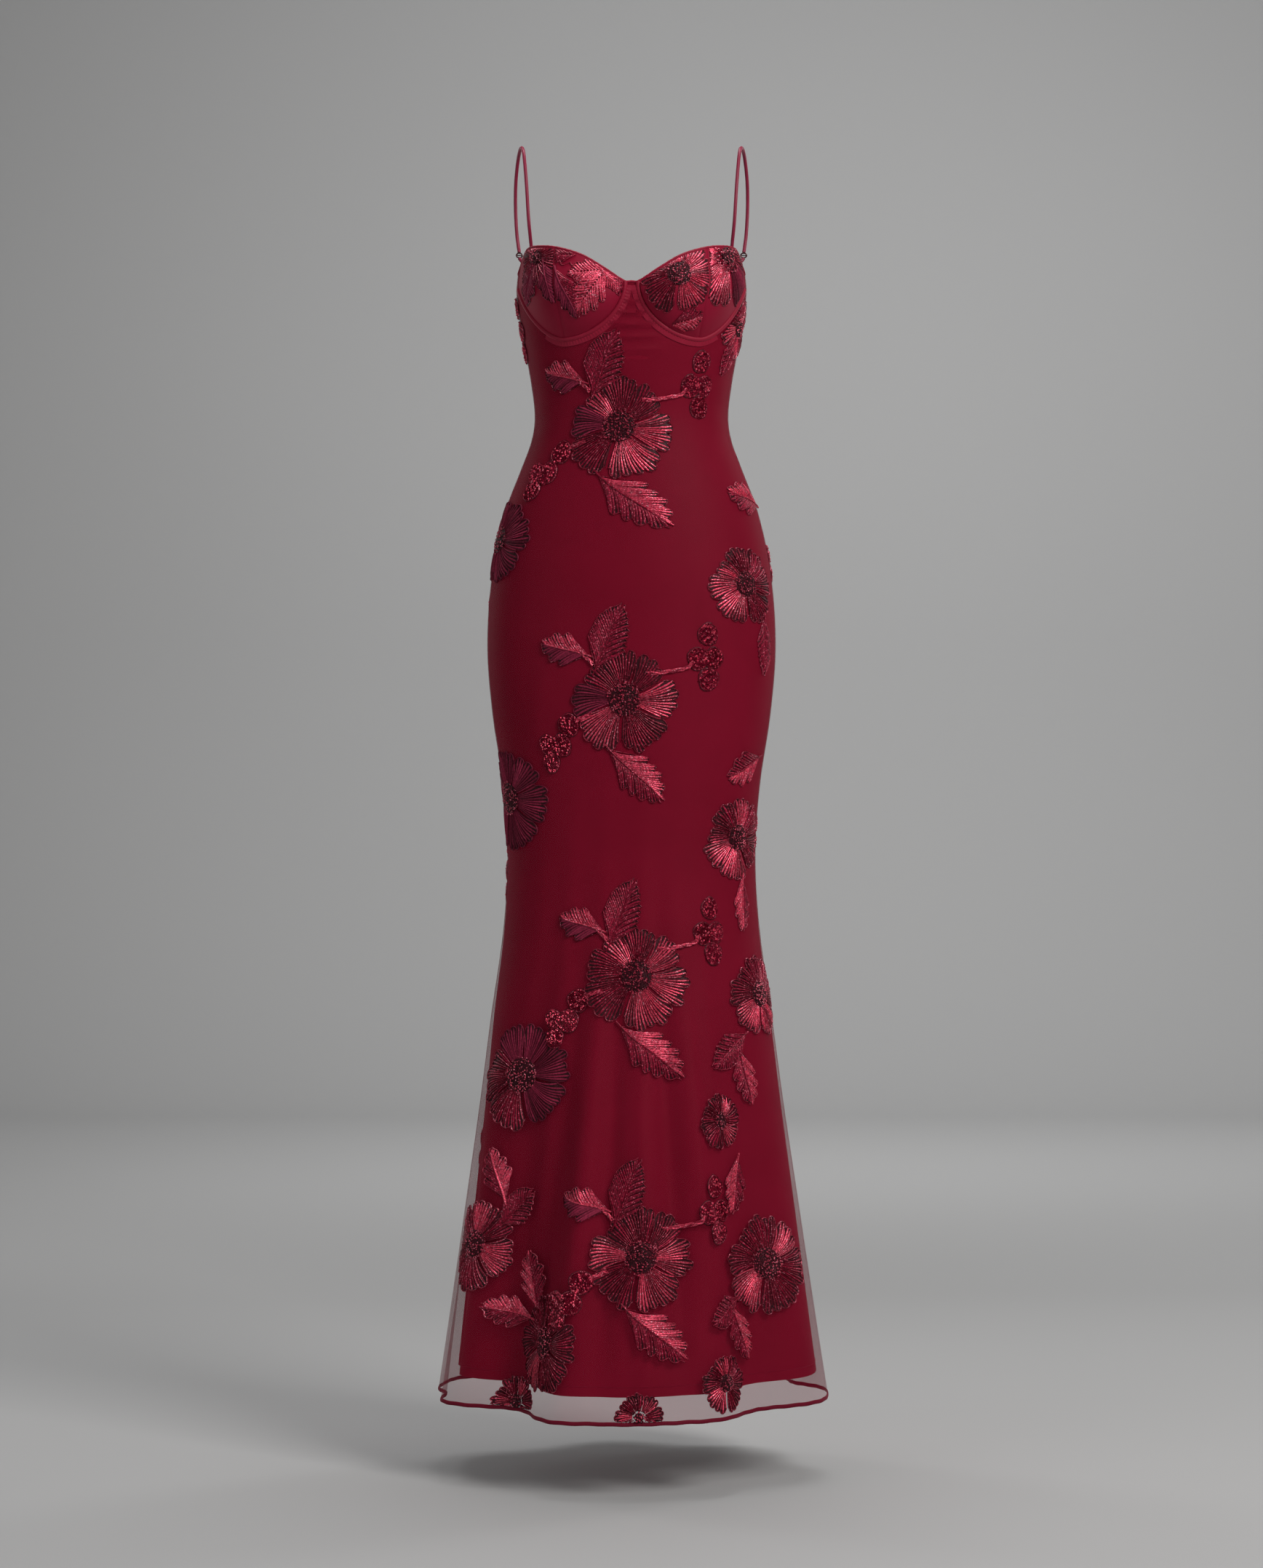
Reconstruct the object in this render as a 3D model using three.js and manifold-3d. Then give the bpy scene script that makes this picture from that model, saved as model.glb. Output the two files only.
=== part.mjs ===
// A corset maxi dress in wine-red mesh, standing hollow as it is worn.
// Sheer mesh with thick floral embroidery is the outer layer, and an opaque jersey lining hangs inside it.
// Two-piece moulded cups sit on wire casings, round shoulder straps run back to sliders, and a concealed
// zip closes the centre back. Millimetres, +Z up. X is the wearer's left, the front faces -Y, and the
// origin lies midway between the places where the two straps rest on the shoulders.
import * as THREE from "three";
import Module from "manifold-3d";

const wasm = await Module();
wasm.setup();

// Driving dimensions.
const HEM_Z = -1447;
const HEM_SIDE_RISE = 8;
const LINING_HEM_LIFT = 30;
const MESH_WALL = 1.4;
const CREST_WALL = 0.4;
const LINING_WALL = 1.2;
const LINING_GAP = 0.5;
const CUP_WALL = 3;
const CUP_RISE = 34;
const CASING_RADIUS = 3.1;
const CASING_CLEAR = 3.8;
const STRAP_RADIUS = 2.1;
const SEAM_HALF_ANGLE = 0.12;
const MM_PER_DEGREE = 2.3;
const UPRIGHT = 0.4;
const COLUMN_STEP = 9;
const THREAD_RISE = 1.6;
const ROLLED_HEM = 5;
const ROLLED_HEM_RISE = 0.8;
const REPEAT = 311;

const MESH_COLOUR = 0x6b0f22;
const LINING_COLOUR = 0x5a0a1c;
const STRAP_COLOUR = 0x7a1230;
const METAL_COLOUR = 0x4a0c18;

const radians = (degrees) => (degrees * Math.PI) / 180;

// Horizontal sections from the underarm down: half the width, and the depth of the front and of the back.
const SECTIONS = [
  { z: -110, half: 130, front: 90, back: 83 },
  { z: -140, half: 131, front: 93, back: 84 },
  { z: -172, half: 133, front: 97, back: 86 },
  { z: -235, half: 123, front: 92, back: 80 },
  { z: -275, half: 116, front: 85, back: 77 },
  { z: -312, half: 112, front: 81, back: 77 },
  { z: -340, half: 116, front: 83, back: 81 },
  { z: -375, half: 129, front: 88, back: 89 },
  { z: -420, half: 146, front: 95, back: 102 },
  { z: -490, half: 161, front: 102, back: 117 },
  { z: -575, half: 167, front: 104, back: 121 },
  { z: -655, half: 161, front: 104, back: 114 },
  { z: -735, half: 149, front: 103, back: 105 },
  { z: -815, half: 143.5, front: 103, back: 103 },
  { z: -900, half: 148, front: 109, back: 111 },
  { z: -1000, half: 162, front: 123, back: 128 },
  { z: -1100, half: 175.5, front: 138, back: 146 },
  { z: -1210, half: 192, front: 153, back: 165 },
  { z: -1330, half: 210, front: 169, back: 184 },
  { z: -1460, half: 230, front: 186, back: 202 },
];

// Soft folds of the flare: where each is at the hem, how wide, how far it stands out or in, and where it starts.
const FOLDS = [
  { angle: -9, width: 13, depth: 14, start: -800 },
  { angle: -24, width: 9, depth: 14, start: -950 },
  { angle: -42, width: 14, depth: -36, start: -820 },
  { angle: -68, width: 12, depth: 8, start: -900 },
  { angle: -82, width: 9, depth: -14, start: -1000 },
  { angle: 19, width: 12, depth: 9, start: -900 },
  { angle: 44, width: 14, depth: -24, start: -850 },
  { angle: 68, width: 12, depth: 7, start: -950 },
  { angle: 112, width: 13, depth: -22, start: -900 },
  { angle: 138, width: 12, depth: 12, start: -850 },
  { angle: 162, width: 11, depth: -16, start: -900 },
  { angle: 186, width: 12, depth: 11, start: -900 },
  { angle: 212, width: 13, depth: -20, start: -850 },
  { angle: 238, width: 12, depth: 12, start: -900 },
];

// The top edge from the gore round to the centre back, the same on both sides.
const NECK_EDGE = [
  { angle: 0, z: -167 },
  { angle: 3.2, z: -167 },
  { angle: 13.7, z: -152 },
  { angle: 25, z: -137.5 },
  { angle: 37.6, z: -128.5 },
  { angle: 50, z: -124 },
  { angle: 66, z: -123.5 },
  { angle: 73, z: -132 },
  { angle: 80, z: -142 },
  { angle: 90, z: -147 },
  { angle: 107, z: -143 },
  { angle: 125, z: -150 },
  { angle: 150, z: -162 },
  { angle: 180, z: -168 },
];

// The bust wire: from the gore down under the cup and up to the underarm.
const WIRE = { start: 3.2, low: 38, end: 77, top: -167, drop: 63, outerPower: 1.65 };
const CUP_SEAM = { top: 42, bottom: 38 };
const ZIP = { end: -430, halfWidth: 11, wall: 0.9, depth: 4.1 };

// One row for each embroidered flower or loose leaf: where it is on the dress, its size and its turn.
const SPRAYS = [
  { angle: -7, z: -330, radius: 61, turn: 0 },
  { angle: -3, z: -330 - REPEAT, radius: 61, turn: 8 },
  { angle: 2, z: -330 - 2 * REPEAT, radius: 61, turn: -6 },
  { angle: 3, z: -330 - 3 * REPEAT, radius: 61, turn: 4 },
  { angle: 140, z: -420, radius: 58, turn: 5 },
  { angle: 142, z: -420 - REPEAT, radius: 60, turn: -7 },
  { angle: 146, z: -420 - 2 * REPEAT, radius: 61, turn: 10 },
  { angle: 148, z: -420 - 3 * REPEAT + 20, radius: 61, turn: -4 },
  { angle: 218, z: -262, radius: 52, turn: 12 },
  { angle: 219, z: -262 - REPEAT, radius: 60, turn: -5 },
  { angle: 217, z: -262 - 2 * REPEAT, radius: 61, turn: 6 },
  { angle: 214, z: -262 - 3 * REPEAT, radius: 61, turn: 0 },
];
const LOOSE_FLOWERS = [
  { angle: 53, z: -508, radius: 47, turn: 15 },
  { angle: 57, z: -797, radius: 47, turn: 40 },
  { angle: 67, z: -976, radius: 48, turn: 5 },
  { angle: 35, z: -1115, radius: 30, turn: 20 },
  { angle: 52, z: -1278, radius: 58, turn: 0 },
  { angle: 28.5, z: -1404, radius: 33, turn: 10 },
  { angle: -77, z: -455, radius: 50, turn: 10 },
  { angle: -71, z: -752, radius: 60, turn: 0 },
  { angle: -49, z: -1066, radius: 63, turn: 25 },
  { angle: -63, z: -1258, radius: 52, turn: 45 },
  { angle: -28, z: -1361, radius: 58, turn: 12 },
  { angle: 180 - 60, z: -200, radius: 42, turn: 0 },
];
const LOOSE_LEAVES = [
  { angle: 68, z: -408, length: 52, width: 36, turn: 160 },
  { angle: 66, z: -577, length: 60, width: 24, turn: -95 },
  { angle: 60, z: -716, length: 52, width: 36, turn: 200 },
  { angle: 60, z: -872, length: 56, width: 24, turn: -100 },
  { angle: 43, z: -1037, length: 56, width: 30, turn: -150 },
  { angle: 50, z: -1066, length: 60, width: 26, turn: -85 },
  { angle: 40, z: -1188, length: 58, width: 26, turn: -110 },
  { angle: 31, z: -1326, length: 50, width: 26, turn: -160 },
  { angle: 37, z: -1350, length: 62, width: 28, turn: -75 },
  { angle: -56, z: -1180, length: 58, width: 30, turn: 110 },
  { angle: -46, z: -1216, length: 54, width: 32, turn: 40 },
  { angle: -36, z: -1296, length: 62, width: 30, turn: 100 },
  { angle: -46, z: -1332, length: 60, width: 28, turn: 165 },
];
// The leaves of a spray, from the middle of its flower.
const SPRAY_LEAVES = [
  { across: -17, up: 70, length: 74, width: 44, turn: 62 },
  { across: -68, up: 58, length: 54, width: 34, turn: 160 },
  { across: 14, up: -84, length: 78, width: 34, turn: -47 },
];
const CUP_FLOWERS = [
  { angle: 26, z: -154, radius: 38, turn: 0 },
  { angle: 57, z: -150, radius: 24, turn: 20 },
  { angle: -57, z: -148, radius: 24, turn: 60 },
];
const CUP_LEAVES = [
  { angle: -24, z: -158, length: 52, width: 34, turn: 35 },
  { angle: -50, z: -190, length: 44, width: 24, turn: -60 },
  { angle: 34, z: -206, length: 40, width: 22, turn: 15 },
];
const FLOWER = { petals: 8, crown: 2.2, heart: 3, bevel: 1.6 };

// A smooth value from a table: a cubic through the rows, by one named column against another.
function smooth(rows, key, at, column) {
  const last = rows.length - 1;
  const rising = rows[last][key] > rows[0][key];
  let i = 0;
  while (i < last - 1 && (rising ? at > rows[i + 1][key] : at < rows[i + 1][key])) i += 1;
  const slope = (j) => {
    const before = Math.max(0, j - 1);
    const after = Math.min(last, j + 1);
    return (rows[after][column] - rows[before][column]) / (rows[after][key] - rows[before][key]);
  };
  const span = rows[i + 1][key] - rows[i][key];
  const t = THREE.MathUtils.clamp((at - rows[i][key]) / span, 0, 1);
  const from = rows[i][column];
  const to = rows[i + 1][column];
  const [t2, t3] = [t * t, t * t * t];
  return (
    from * (2 * t3 - 3 * t2 + 1) +
    slope(i) * span * (t3 - 2 * t2 + t) +
    to * (3 * t2 - 2 * t3) +
    slope(i + 1) * span * (t3 - t2)
  );
}

// Degrees from one direction round to another, from -180 to 180.
const turnBetween = (from, to) => ((((to - from) % 360) + 540) % 360) - 180;

function foldAt(angle, z) {
  return FOLDS.reduce((sum, fold) => {
    const grown = THREE.MathUtils.clamp((fold.start - z) / (fold.start - HEM_Z), 0, 1.1);
    const away = turnBetween(fold.angle, angle) / fold.width;
    return sum + fold.depth * grown ** 1.5 * Math.exp(-away * away);
  }, 0);
}

// A point on the dress: angle 0 is the centre front and 90 the wearer's left side; out is away from the body.
function onDress(angle, z, out = 0) {
  const half = smooth(SECTIONS, "z", z, "half");
  const turn = radians(angle);
  const depth = smooth(SECTIONS, "z", z, Math.cos(turn) > 0 ? "front" : "back");
  const normal = new THREE.Vector2(Math.sin(turn) / half, -Math.cos(turn) / depth).normalize();
  const shift = out + foldAt(angle, z);
  return new THREE.Vector3(
    half * Math.sin(turn) + normal.x * shift,
    -depth * Math.cos(turn) + normal.y * shift,
    z,
  );
}

// Heights of the rows inside a panel: close where the body line curves, and wide where it is straight.
const ROWS = [
  -174, -205, -236, -264, -289, -312, -336, -364, -400, -445, -495, -550, -610, -670, -735, -800, -870,
  -940, -1015, -1100, -1185, -1270, -1355,
];
const ALL_ROWS = [-110, -140, ...ROWS, -1460];

// A point on the cloth, which runs straight between the rows and columns that its walls are divided by.
function onCloth(angle, z, out = 0) {
  const left = Math.floor(angle / COLUMN_STEP) * COLUMN_STEP;
  const below = Math.max(1, ALL_ROWS.findIndex((row) => z >= row));
  const [high, low] = [ALL_ROWS[below - 1], ALL_ROWS[below]];
  const across = (angle - left) / COLUMN_STEP;
  const rowPoint = (row) => onDress(left, row, out).lerp(onDress(left + COLUMN_STEP, row, out), across);
  return rowPoint(high).lerp(rowPoint(low), (high - z) / (high - low));
}

// How thick the mesh is with its seam allowances: more under the crest of a fold, which is cut straight.
function meshWall(angle, z) {
  const beside = (foldAt(angle - COLUMN_STEP, z) + foldAt(angle + COLUMN_STEP, z)) / 2;
  return MESH_WALL + CREST_WALL * Math.max(0, foldAt(angle, z) - beside);
}

const neckZ = (angle) => smooth(NECK_EDGE, "angle", Math.abs(turnBetween(0, angle)), "z");
const hemZ = (angle) => HEM_Z + HEM_SIDE_RISE * Math.sin(radians(angle)) ** 2;

// How far the lining hangs inside the mesh: together above the knee, and freely in the flare.
function liningInset(angle, z) {
  const free = THREE.MathUtils.clamp((-860 - z) / (-860 - HEM_Z), 0, 1);
  const rightSide = Math.max(0, -Math.sin(radians(angle)));
  return LINING_GAP + free ** 1.4 * (9 + 11 * rightSide ** 2);
}

// The wire line from the gore (0) to the underarm (1), as an angle and a height.
function wireAt(share) {
  const turn = share * Math.PI;
  const reach = -Math.cos(turn);
  if (reach < 0)
    return { angle: WIRE.low + (WIRE.low - WIRE.start) * reach, z: WIRE.top - WIRE.drop * Math.sin(turn) };
  return {
    angle: WIRE.low + (WIRE.end - WIRE.low) * reach,
    z: WIRE.top - WIRE.drop * (1 - reach ** WIRE.outerPower),
  };
}

function wireZ(angle) {
  if (angle < WIRE.low) {
    const reach = Math.min(1, (WIRE.low - angle) / (WIRE.low - WIRE.start));
    return WIRE.top - WIRE.drop * Math.sqrt(1 - reach * reach);
  }
  const reach = Math.min(1, (angle - WIRE.low) / (WIRE.end - WIRE.low));
  return WIRE.top - WIRE.drop * (1 - reach ** WIRE.outerPower);
}

// Millimetres of cloth to one degree round the body there.
const roundSpeed = (angle, z) => onDress(angle - 0.5, z).distanceTo(onDress(angle + 0.5, z));

// The wire line moved sideways by a distance, towards the cup (positive) or the panel (negative).
function besideWire(share, distance) {
  const at = wireAt(share);
  const speed = roundSpeed(at.angle, at.z);
  const [before, after] = [-0.01, 0.01].map((step) => wireAt(THREE.MathUtils.clamp(share + step, 0, 1)));
  const along = new THREE.Vector2((after.angle - before.angle) * speed, after.z - before.z).normalize();
  return { angle: at.angle - (along.y * distance) / speed, z: at.z + along.x * distance };
}

// How far forward of the body line the moulded cup stands.
function cupRise(angle, z) {
  const side = Math.abs(angle);
  const low = wireZ(side);
  const across = THREE.MathUtils.clamp((side - WIRE.start) / (WIRE.end - WIRE.start), 0, 1);
  const up = THREE.MathUtils.clamp((z - low) / Math.max(neckZ(side) - low, 4), 0, 1);
  const round = (1 - (2 * across - 1) ** 2) ** 0.7;
  return CUP_RISE * round * (1 - (1 - up) ** 3) * (1 - 0.6 * up * up);
}

// A point on the moulded cup, which stands forward of the body line.
function onCup(angle, z, out) {
  return onDress(angle, z, out).sub(new THREE.Vector3(0, cupRise(angle, z), 0));
}

// Flat cloth coordinates, in which the walls are divided into triangles.
const flatPoint = ({ angle, z }) => new THREE.Vector2(angle * MM_PER_DEGREE, z);

function distanceToEdge(point, outline) {
  const segment = new THREE.Line3();
  const nearest = new THREE.Vector3();
  const at = new THREE.Vector3(point.x, point.y, 0);
  return outline.reduce((least, corner, i) => {
    const next = outline[(i + 1) % outline.length];
    segment.start.set(corner.x, corner.y, 0);
    segment.end.set(next.x, next.y, 0);
    return Math.min(least, segment.closestPointToPoint(at, true, nearest).distanceTo(at));
  }, Infinity);
}

function isInside(point, outline) {
  let inside = false;
  outline.forEach((a, i) => {
    const b = outline[(i + 1) % outline.length];
    if (a.y > point.y !== b.y > point.y && point.x < ((b.x - a.x) * (point.y - a.y)) / (b.y - a.y) + a.x)
      inside = !inside;
  });
  return inside;
}

// Twice the area of a flat triangle, above zero when it runs anticlockwise.
const turnOf = (a, b, c) => (b.x - a.x) * (c.y - a.y) - (b.y - a.y) * (c.x - a.x);

// The circle through three flat points.
function circleOf(p, q, r) {
  const area = 2 * turnOf(p, q, r);
  const qq = (q.x - p.x) ** 2 + (q.y - p.y) ** 2;
  const rr = (r.x - p.x) ** 2 + (r.y - p.y) ** 2;
  const x = ((r.y - p.y) * qq - (q.y - p.y) * rr) / area;
  const y = ((q.x - p.x) * rr - (r.x - p.x) * qq) / area;
  return { x: p.x + x, y: p.y + y, square: x * x + y * y };
}

const isWithin = (circle, p) => (p.x - circle.x) ** 2 + (p.y - circle.y) ** 2 < circle.square;

// Delaunay triangles of flat points, as lists of three numbers that run anticlockwise.
function delaunay(points) {
  const count = points.length;
  const far = 1e5;
  const all = [
    ...points,
    new THREE.Vector2(-far, -far),
    new THREE.Vector2(far, -far),
    new THREE.Vector2(0, far),
  ];
  const corners = (a, b, c) => ({ corners: [a, b, c], circle: circleOf(all[a], all[b], all[c]) });
  let made = [corners(count, count + 1, count + 2)];
  for (let n = 0; n < count; n += 1) {
    const rim = new Map();
    const kept = [];
    for (const t of made) {
      if (!isWithin(t.circle, all[n])) {
        kept.push(t);
        continue;
      }
      t.corners.forEach((a, i) => {
        const b = t.corners[(i + 1) % 3];
        if (!rim.delete(`${b},${a}`)) rim.set(`${a},${b}`, [a, b]);
      });
    }
    for (const [a, b] of rim.values()) kept.push(corners(a, b, n));
    made = kept;
  }
  return made.map((t) => t.corners).filter((three) => three.every((c) => c < count));
}

// Triangles between a line and the chain of points to its left.
function fillBeside(points, chain, a, b) {
  if (!chain.length) return [];
  let best = 0;
  chain.forEach((c, i) => {
    if (isWithin(circleOf(points[a], points[b], points[chain[best]]), points[c])) best = i;
  });
  const c = chain[best];
  return [
    [a, b, c],
    ...fillBeside(points, chain.slice(0, best), a, c),
    ...fillBeside(points, chain.slice(best + 1), c, b),
  ];
}

// Turns triangles so that each wanted line, an edge of a motif, is a side of some of them.
function withLines(points, triangles, lines) {
  const count = points.length;
  const third = new Map();
  const put = ([a, b, c]) => {
    third.set(a * count + b, c);
    third.set(b * count + c, a);
    third.set(c * count + a, b);
  };
  const drop = ([a, b, c]) => {
    third.delete(a * count + b);
    third.delete(b * count + c);
    third.delete(c * count + a);
  };
  triangles.forEach(put);
  for (const [a, b] of lines) {
    if (third.has(a * count + b) || third.has(b * count + a)) continue;
    const side = (c) => turnOf(points[a], points[b], points[c]);
    const first = [...third].find(
      ([edge, q]) => Math.floor(edge / count) === a && side(edge % count) < 0 && side(q) > 0,
    );
    if (!first) continue;
    let [right, left] = [first[0] % count, first[1]];
    const [lower, upper] = [[right], [left]];
    const crossed = [[a, right, left]];
    let next = third.get(left * count + right);
    while (next !== undefined && next !== b) {
      crossed.push([left, right, next]);
      if (side(next) > 0) upper.push((left = next));
      else lower.push((right = next));
      next = third.get(left * count + right);
    }
    if (next === undefined) continue;
    [...crossed, [left, right, b]].forEach(drop);
    fillBeside(points, upper, a, b).forEach(put);
    fillBeside(points, lower.reverse(), b, a).forEach(put);
  }
  return [...third]
    .map(([edge, c]) => [Math.floor(edge / count), edge % count, c])
    .filter(([a, b, c]) => a < b && a < c);
}

// The triangles of a wall's face, inside the outline that its first points make. Heights are shortened, so
// that triangles stand along the folds. Each point is moved a little, by its own place alone, so that the
// same squares are cut the same way in every wall.
function trianglesOf(flat, outlineCount, lines) {
  const nudge = ({ x, y }) => 0.05 * Math.sin(x * 12.9898 + y * 78.233);
  const points = flat.map((p) => new THREE.Vector2(p.x + nudge(p), p.y * UPRIGHT - nudge(p)));
  const outline = points.slice(0, outlineCount);
  const rim = outline.map((_, i) => [i, (i + 1) % outlineCount]);
  const middle = (three) =>
    three.reduce((sum, c) => sum.add(points[c]), new THREE.Vector2()).divideScalar(3);
  return withLines(points, delaunay(points), [...rim, ...lines]).filter((three) =>
    isInside(middle(three), outline),
  );
}

// A cloth wall: its outline runs round anticlockwise seen from outside, and both faces share it.
function wall(outline, outerPoints, innerPoints, outerAt, innerAt, lines = []) {
  const positions = [];
  const indices = [];
  const edge = outline.length;
  const addFace = (inner, place, flip, edges) => {
    const all = [...outline, ...inner];
    const start = positions.length / 3;
    all.forEach((p) => positions.push(...place(p).toArray()));
    for (const [a, b, c] of trianglesOf(all.map(flatPoint), edge, edges))
      indices.push(start + a, start + (flip ? c : b), start + (flip ? b : c));
    return start;
  };
  const shifted = lines.map(([a, b]) => [a + edge, b + edge]);
  const outer = addFace(outerPoints, outerAt, false, shifted);
  const inner = addFace(innerPoints, innerAt, true, []);
  for (let i = 0; i < edge; i += 1) {
    const next = (i + 1) % edge;
    indices.push(outer + next, outer + i, inner + i, outer + next, inner + i, inner + next);
  }
  const geometry = new THREE.BufferGeometry();
  geometry.setAttribute("position", new THREE.Float32BufferAttribute(positions, 3));
  geometry.setIndex(indices);
  return geometry;
}

// Points from one place on the cloth towards another, without the last, about a step apart.
function run(from, to, step) {
  const long = flatPoint(from).distanceTo(flatPoint(to));
  const count = Math.max(1, Math.round(long / step));
  return Array.from({ length: count }, (_, i) => ({
    angle: from.angle + ((to.angle - from.angle) * i) / count,
    z: from.z + ((to.z - from.z) * i) / count,
  }));
}

function rangeOf(from, to, step) {
  const count = Math.max(1, Math.round(Math.abs(to - from) / step));
  return Array.from({ length: count + 1 }, (_, i) => from + ((to - from) * i) / count);
}

const gridInside = (from, to) =>
  ROWS.flatMap((z) => rangeOf(from, to, COLUMN_STEP).map((angle) => ({ angle, z })));

// Points up a side seam, or down it, at the height of each row and at both ends.
function seamRun(angle, from, to) {
  const between = ROWS.filter((z) => Math.abs(z - from) > 12 && Math.abs(z - to) > 12);
  const inside = between.filter((z) => (z - from) * (z - to) < 0);
  const heights = [from, ...inside, to].sort((p, q) => (to > from ? p - q : q - p));
  return heights.map((z) => ({ angle, z }));
}

function keepClear(points, outline, margin) {
  const flat = outline.map(flatPoint);
  return points.filter((p) => isInside(flatPoint(p), flat) && distanceToEdge(flatPoint(p), flat) > margin);
}

// Places points given across and up, in millimetres, round a middle on the cloth.
function placed(middle, points) {
  const speed = roundSpeed(middle.angle, middle.z);
  return points.map(({ across, up, rise }) => ({
    angle: middle.angle + across / speed,
    z: middle.z + up,
    rise,
  }));
}

const ringPoint = (radius, turn, rise) => ({
  across: radius * Math.cos(radians(turn)),
  up: radius * Math.sin(radians(turn)),
  rise,
});

// A flower's raised points: a domed heart, petal crowns with valleys between, a notched rim and its foot.
function flowerMotif({ radius, turn }) {
  const step = 360 / FLOWER.petals;
  const points = [{ across: 0, up: 0, rise: FLOWER.heart }];
  const outline = [];
  const rim = [];
  for (let petal = 0; petal < FLOWER.petals; petal += 1) {
    const middle = turn + petal * step;
    const long = radius * (1 - 0.08 * (petal % 3));
    points.push(ringPoint(radius * 0.3, middle + step / 2, FLOWER.heart));
    points.push(ringPoint(radius * 0.66, middle, FLOWER.crown));
    [
      [-0.27, 1],
      [0.27, 0.98],
      [0.5, 0.82],
    ].forEach(([share, reach]) => {
      rim.push(ringPoint(long * reach - FLOWER.bevel, middle + share * step, THREAD_RISE));
      outline.push(ringPoint(long * reach, middle + share * step, 0));
    });
  }
  return { points, rim, outline };
}

// A leaf's raised points along its length, as half widths, with a ridge down the middle.
function leafMotif({ across = 0, up = 0, length, width, turn }) {
  const profile = [
    { along: -0.5, half: 0 },
    { along: -0.17, half: 0.5 },
    { along: 0.2, half: 0.42 },
    { along: 0.5, half: 0 },
  ];
  const at = (along, side, rise) => {
    const [c, s] = [Math.cos(radians(turn)), Math.sin(radians(turn))];
    return { across: across + along * c - side * s, up: up + along * s + side * c, rise };
  };
  const sides = [
    ...profile.map((p) => ({ ...p, sign: -1 })),
    ...profile.slice(1, -1).reverse().map((p) => ({ ...p, sign: 1 })),
  ];
  const inset = FLOWER.bevel;
  const outline = sides.map(({ along, half, sign }) => at(along * length, sign * half * width, 0));
  const raised = sides.map(({ along, half, sign }) =>
    at(along * (length - 2.5 * inset), sign * Math.max(0, half * width - inset), THREAD_RISE),
  );
  return { points: [at(0, 0, FLOWER.crown)], rim: raised, outline };
}

// Every motif with its middle, as points and rings placed on the cloth.
function motifsOf(flowers, leaves, sprays) {
  const made = [];
  const add = (middle, { points, rim, outline }) =>
    made.push({
      points: placed(middle, points),
      rim: placed(middle, rim),
      outline: placed(middle, outline),
    });
  sprays.forEach((spray) => {
    add(spray, flowerMotif(spray));
    SPRAY_LEAVES.forEach((leaf) => add(spray, leafMotif(leaf)));
  });
  flowers.forEach((flower) => add(flower, flowerMotif(flower)));
  leaves.forEach((leaf) => add(leaf, leafMotif(leaf)));
  return made;
}

// The outer face's points and the lines that its triangles keep: motifs, off the edge and off the motifs
// before them, and the grid, which is lifted where a motif covers it and left out beside a motif's edge.
function embroidered(outline, grid, motifs, margin) {
  const taken = [];
  const points = [];
  const lines = [];
  const drawn = outline.map((p, i) => [flatPoint(p), flatPoint(outline[(i + 1) % outline.length])]);
  const crosses = ([a, b], [c, d]) =>
    turnOf(a, b, c) * turnOf(a, b, d) < 0 && turnOf(c, d, a) * turnOf(c, d, b) < 0;
  for (const motif of motifs) {
    const isFree = (p) => {
      const at = flatPoint(p);
      return !taken.some((other) => isInside(at, other) || distanceToEdge(at, other) < 3);
    };
    const numbered = (list) => {
      const kept = new Set(keepClear(list, outline, margin).filter(isFree));
      return list.map((p) => (kept.has(p) ? points.push(p) - 1 : -1));
    };
    const before = points.length;
    numbered(motif.points);
    [motif.rim, motif.outline].forEach((ring) => {
      numbered(ring).forEach((number, i, all) => {
        const next = all[(i + 1) % all.length];
        if (number < 0 || next < 0) return;
        const line = [flatPoint(points[number]), flatPoint(points[next])];
        if (drawn.some((other) => crosses(line, other))) return;
        drawn.push(line);
        lines.push([number, next]);
      });
    });
    if (points.length > before) taken.push(motif.outline.map(flatPoint));
  }
  const plain = keepClear(grid, outline, margin)
    .filter((p) => taken.every((shape) => distanceToEdge(flatPoint(p), shape) > 6))
    .map((p) => ({ ...p, rise: taken.some((s) => isInside(flatPoint(p), s)) ? FLOWER.crown : 0 }));
  return { points: [...points, ...plain], lines };
}

const clothMaterial = new THREE.MeshStandardMaterial({ color: MESH_COLOUR, roughness: 0.6, metalness: 0 });
const liningMaterial = new THREE.MeshStandardMaterial({ color: LINING_COLOUR, roughness: 0.7, metalness: 0 });
const strapMaterial = new THREE.MeshStandardMaterial({ color: STRAP_COLOUR, roughness: 0.5, metalness: 0 });
const metalMaterial = new THREE.MeshStandardMaterial({ color: METAL_COLOUR, roughness: 0.35, metalness: 0.6 });

const dress = new THREE.Group();

function addPiece(name, geometry, material) {
  const piece = new THREE.Mesh(geometry, material);
  piece.name = name;
  dress.add(piece);
  return piece;
}

// The outline of the front panel: hem, left seam, underarm, then both wire lines with the gore between.
function frontOutline(bottomLift) {
  const side = 90 - SEAM_HALF_ANGLE;
  const wing = WIRE.end + SEAM_HALF_ANGLE;
  const bottom = (angle) => ({ angle, z: hemZ(angle) + bottomLift });
  const wire = rangeOf(1, 0, 1 / 16).map((share) => besideWire(share, -CASING_CLEAR));
  const mirrored = (points) => points.map(({ angle, z }) => ({ angle: -angle, z })).reverse();
  const half = [
    ...seamRun(side, bottom(side).z, neckZ(side)),
    { angle: (side + wing) / 2, z: neckZ((side + wing) / 2) },
    { angle: wing, z: neckZ(wing) },
    { angle: wing, z: WIRE.top + 3.5 },
    ...wire,
  ];
  const hem = rangeOf(-90, 90, COLUMN_STEP).slice(1, -1).map(bottom);
  return [...half, ...mirrored(half), ...hem];
}

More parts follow.
